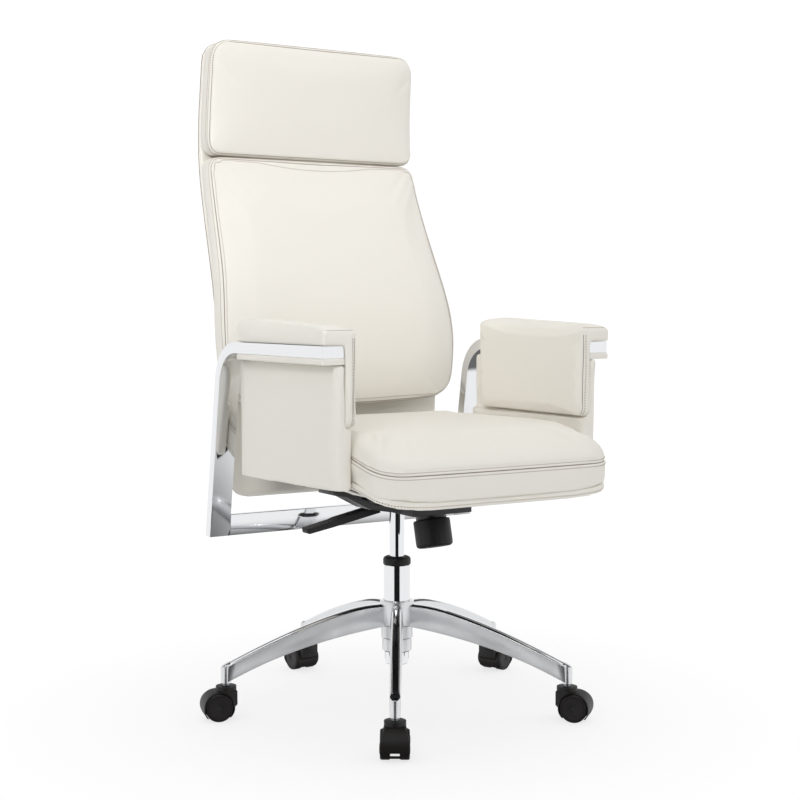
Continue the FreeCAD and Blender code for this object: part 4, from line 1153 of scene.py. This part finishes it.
class CHAIR_OT_mechanism(bpy.types.Operator):
    """Eases the pressed and moulded pieces under the seat and makes the tension knob"""
    bl_idname = "chair.mechanism"
    bl_label = "Mechanism"

    def execute(self, context):
        metal = context.scene.chair_metalwork
        pressed = (("mechanism_housing", "mechanism"), ("seat_plate", "upper"),
                   ("lever_carrier", "lever_collar"), ("arm_bracket_left", "upper"),
                   ("arm_bracket_right", "upper"), ("back_straps", "upper"))
        for node, body in pressed:
            plate = cad_copy(node)
            ease_edges(plate, metal.pressed_edge, 2, 38)
            fitted(piece_from(plate, node + "_painted"), body, "black_paint", "powder_paint", node)
        paddle = cad_copy("lever_paddle")
        ease_edges(paddle, 1.6 * MM, 3, 25)
        fitted(piece_from(paddle, "lever_grip"), "lever", "black_plastic", "moulded_plastic",
               "lever_paddle")

        joint = JOINTS["tension_turn"]
        place = along_axis(joint["pos_m"], -Vector(joint["axis"]).normalized())
        section = [(5, 51), (29.5, 51), (29.5, 16), (31.6, 16), (32.6, 17), (33, 18.6), (33, 58),
                   (32.2, 61.5), (30, 63.8), (27, 65), (12, 65), (10.5, 64.2), (5, 64.2)]
        knob = turned(in_mm(section), steps=120, closed=True)
        flutes, flute_share = 20, 0.012
        for vert in knob.verts:
            radius = math.hypot(vert.co.x, vert.co.y)
            if radius > 31 * MM and 20 * MM < vert.co.z < 60 * MM:
                turn = math.atan2(vert.co.y, vert.co.x)
                cut_in = 1 - flute_share * max(0, math.cos(flutes * turn))
                vert.co.x *= cut_in
                vert.co.y *= cut_in
        bmesh.ops.transform(knob, matrix=place, verts=knob.verts)
        fitted(piece_from(knob, "tension_grip", 40), "tension", "black_plastic", "moulded_plastic",
               "tension_knob")
        return {"FINISHED"}


PLAIN_NODES = {
    "ground_steel": ["piston_rod", "tilt_pin", "release_pin",
                     *("caster_stem_%d" % number for number in CASTERS)],
    "blackened_steel": ["thrust_bearing", "retaining_clip", "tension_bolt", "tension_spring",
                        "lever_rod", "seat_bolts", *("caster_axle_%d" % number for number in CASTERS)],
}


class CHAIR_OT_fittings(bpy.types.Operator):
    """Finishes the pins, rods and bolts whose shape is already right"""
    bl_idname = "chair.fittings"
    bl_label = "Pins and Bolts"

    def execute(self, context):
        for finish, nodes in PLAIN_NODES.items():
            for name in nodes:
                slots = frame["nodes"][name].data.materials
                slots.clear()
                slots.append(bpy.data.materials[finish])
        return {"FINISHED"}


class CHAIR_OT_finishes(bpy.types.Operator):
    """Makes the materials of the chair from its colours"""
    bl_idname = "chair.finishes"
    bl_label = "Finishes"

    def execute(self, context):
        tones = context.scene.chair_colours
        # The cream leather carries blotches of painted shade from its shade colour.
        full_grain_leather("cream_leather", tones.leather, tones.leather_painted_shade, 0.46)
        # Painted shade: the welts' leather is dark so that every seam shows the line of its shadow.
        full_grain_leather("seam_leather", tones.welt, tones.welt, 0.6)
        bonded_thread("bonded_thread", tones.thread)
        plated_chrome("plated_chrome", tones.chrome)
        buffed_aluminium("buffed_aluminium", tones.aluminium)
        moulded_nylon("glass_nylon", tones.nylon, 0.46, 0.5 * MM)
        moulded_nylon("moulded_plastic", tones.paint, 0.5, 0.7 * MM)
        powder_paint("powder_paint", tones.paint)
        ground_steel("ground_steel", tones.steel, 0.24)
        ground_steel("blackened_steel", tones.dark_steel, 0.4)
        needle_felt("needle_felt", tones.paint)
        return {"FINISHED"}


# ------------------------------------------------------------------ stage

class ChairStage(bpy.types.PropertyGroup):
    """The studio round the chair."""

    lens: FloatProperty(name="Lens", description="Focal length in millimetres", default=66.86)
    eye: FloatVectorProperty(name="Eye", description="Where the camera stands", subtype="TRANSLATION",
                             unit="LENGTH", default=(-1.4485, -2.3139, 0.7445))
    heading: FloatProperty(name="Heading", description="Turn of the view from +Y towards +X",
                           subtype="ANGLE", unit="ROTATION", default=0.5614)
    dip: FloatProperty(name="Dip", description="How far the view points below level",
                       subtype="ANGLE", unit="ROTATION", default=math.radians(3.70))
    floor_tone: FloatVectorProperty(name="Floor", description="Pale floor", subtype="COLOR",
                                    default=linear("#FBFBFB"))
    ambient: FloatProperty(name="Ambient", description="Strength of the white room", default=0.755)


# Each light's place, the point it faces, its side in metres, its watts and spread in degrees.
LIGHTS = (("key_light", (-2.3, -2.6, 2.9), (0, 0, 0.9), 2.6, 25, 180),
          ("head_light", (-1.9, -1.6, 1.8), (0, 0.33, 1.12), 0.8, 1.9, 40),
          ("fill_light", (2.8, -1.6, 2.4), (0, 0, 0.8), 2.4, 14, 180),
          ("top_light", (0, 0.4, 4.2), (0, 0, 0), 3.0, 11, 180))


def softbox(name, place, aim, size, power, spread):
    """A square light that faces a point."""
    lamp = bpy.data.lights.new(name, "AREA")
    lamp.size = size
    lamp.energy = power
    lamp.spread = math.radians(spread)
    holder = bpy.data.objects.new(name, lamp)
    holder.location = place
    holder.rotation_euler = (Vector(aim) - Vector(place)).to_track_quat("-Z", "Y").to_euler()
    holder.visible_camera = False
    bpy.context.scene.collection.objects.link(holder)


def studio_world(strength, heading):
    """A white room whose dark strip behind the camera, frieze and floor only gloss shows."""
    world = bpy.data.worlds.new("white_room")
    world.use_nodes = True
    tree = world.node_tree
    tree.nodes.clear()
    way = add_node(tree, "ShaderNodeTexCoord").outputs["Generated"]
    parts = add_node(tree, "ShaderNodeSeparateXYZ", links={"Vector": way})
    bearing = add_node(tree, "ShaderNodeMath", {"operation": "ARCTAN2"},
                       links={0: parts.outputs["X"], 1: parts.outputs["Y"]})
    off = add_node(tree, "ShaderNodeMath", {"operation": "SUBTRACT"}, {1: heading - math.pi},
                   {0: bearing.outputs[0]})
    gap = add_node(tree, "ShaderNodeMath", {"operation": "ABSOLUTE"}, links={0: off.outputs[0]})
    strip = add_node(tree, "ShaderNodeMapRange", {"interpolation_type": "SMOOTHSTEP"},
                     {"From Min": 0.36, "From Max": 0.47, "To Min": 0.012, "To Max": 1.05},
                     {"Value": gap.outputs[0]})
    floor = add_node(tree, "ShaderNodeMapRange", {"interpolation_type": "SMOOTHSTEP"},
                     {"From Min": -0.62, "From Max": -0.36, "To Min": 0.16, "To Max": 1.0},
                     {"Value": parts.outputs["Z"]})
    rise = add_node(tree, "ShaderNodeMath", {"operation": "SUBTRACT"}, {1: 0.5},
                    {0: parts.outputs["Z"]})
    height = add_node(tree, "ShaderNodeMath", {"operation": "ABSOLUTE"}, links={0: rise.outputs[0]})
    frieze = add_node(tree, "ShaderNodeMapRange", {"interpolation_type": "SMOOTHSTEP"},
                      {"From Min": 0.14, "From Max": 0.22, "To Min": 0.12, "To Max": 1.0},
                      {"Value": height.outputs[0]})
    bands = add_node(tree, "ShaderNodeMath", {"operation": "MULTIPLY"},
                     links={0: floor.outputs[0], 1: frieze.outputs[0]})
    mixed = add_node(tree, "ShaderNodeMath", {"operation": "MULTIPLY"},
                     links={0: strip.outputs[0], 1: bands.outputs[0]})
    path = add_node(tree, "ShaderNodeLightPath")
    room = add_node(tree, "ShaderNodeMapRange", {"interpolation_type": "SMOOTHSTEP"},
                    {"From Min": -0.1, "From Max": 0.5, "To Min": 0.3 * strength, "To Max": strength},
                    {"Value": parts.outputs["Z"]})
    level = add_node(tree, "ShaderNodeMix", {"data_type": "FLOAT"},
                     links={0: path.outputs["Is Glossy Ray"], 2: room.outputs[0],
                            3: mixed.outputs[0]})
    seen = add_node(tree, "ShaderNodeMix", {"data_type": "FLOAT"}, {3: 1.05},
                    {0: path.outputs["Is Camera Ray"], 2: level.outputs[0]})
    back = add_node(tree, "ShaderNodeBackground", values={"Color": (1, 1, 1, 1)},
                    links={"Strength": seen.outputs[0]})
    add_node(tree, "ShaderNodeOutputWorld", links={"Surface": back.outputs[0]})
    bpy.context.scene.world = world


def pale_floor(tone):
    """A pale floor that is lit from below, more so away from the chair, like a light table."""
    tree, shader, place = new_finish("pale_floor", **{"Roughness": 0.8, "Specular IOR Level": 0.1,
                                                      "Emission Color": (1, 1, 1, 1)})
    reach = add_node(tree, "ShaderNodeVectorMath", {"operation": "LENGTH"}, links={0: place})
    glow = add_node(tree, "ShaderNodeMapRange", {"interpolation_type": "SMOOTHSTEP"},
                    {"From Min": 0.25, "From Max": 1.1, "To Min": 0.74, "To Max": 1.04},
                    {"Value": reach.outputs["Value"]})
    tint = add_node(tree, "ShaderNodeMix", {"data_type": "RGBA"}, {6: (*tone, 1), 7: (0, 0, 0, 1)},
                    {0: glow.outputs[0]})
    tree.links.new(glow.outputs[0], shader.inputs["Emission Strength"])
    tree.links.new(tint.outputs[2], shader.inputs["Base Color"])


class CHAIR_OT_stage(bpy.types.Operator):
    """Sets the pale floor, the soft lights and the camera"""
    bl_idname = "chair.stage"
    bl_label = "Stage"

    def execute(self, context):
        stage = context.scene.chair_stage
        bm = bmesh.new()
        bmesh.ops.create_circle(bm, cap_ends=True, segments=96, radius=2)
        floor = piece_from(bm, "studio_floor")
        pale_floor(stage.floor_tone)
        floor.data.materials.append(bpy.data.materials["pale_floor"])
        floor.visible_glossy = False
        studio_world(stage.ambient, stage.heading)
        for light in LIGHTS:
            softbox(*light)
        camera = bpy.data.cameras.new("camera")
        camera.lens = stage.lens
        camera.sensor_width = 36
        holder = bpy.data.objects.new("camera", camera)
        holder.location = stage.eye
        holder.rotation_euler = (math.pi / 2 - stage.dip, 0, -stage.heading)
        context.scene.collection.objects.link(holder)
        context.scene.camera = holder
        context.scene.view_settings.view_transform = "Standard"
        return {"FINISHED"}


# ------------------------------------------------------------------ add-on

GROUPS = (("chair_upholstery", ChairUpholstery), ("chair_metalwork", ChairMetalwork),
          ("chair_colours", ChairColours), ("chair_stage", ChairStage))
STEPS = (CHAIR_OT_finishes, CHAIR_OT_seat, CHAIR_OT_back, CHAIR_OT_arms, CHAIR_OT_arm_frames,
         CHAIR_OT_base, CHAIR_OT_casters, CHAIR_OT_mechanism, CHAIR_OT_fittings, CHAIR_OT_stage)


class CHAIR_PT_panel(bpy.types.Panel):
    """Lists the chair's settings and the steps that build it"""
    bl_idname = "CHAIR_PT_panel"
    bl_label = "Swivel Office Chair"
    bl_space_type = "VIEW_3D"
    bl_region_type = "UI"
    bl_category = "Chair"

    def draw(self, context):
        for name, group in GROUPS:
            settings = getattr(context.scene, name)
            column = self.layout.column(align=True)
            for prop in group.__annotations__:
                column.prop(settings, prop)
        for step in STEPS:
            self.layout.operator(step.bl_idname)


CLASSES = tuple(group for _, group in GROUPS) + STEPS + (CHAIR_PT_panel,)


def register():
    for item in CLASSES:
        bpy.utils.register_class(item)
    for name, group in GROUPS:
        setattr(bpy.types.Scene, name, PointerProperty(type=group))


def unregister():
    for name, _ in GROUPS:
        delattr(bpy.types.Scene, name)
    for item in reversed(CLASSES):
        bpy.utils.unregister_class(item)


def main():
    register()
    for step in STEPS:
        family, name = step.bl_idname.split(".")
        getattr(getattr(bpy.ops, family), name)()


if __name__ == "__main__":
    main()
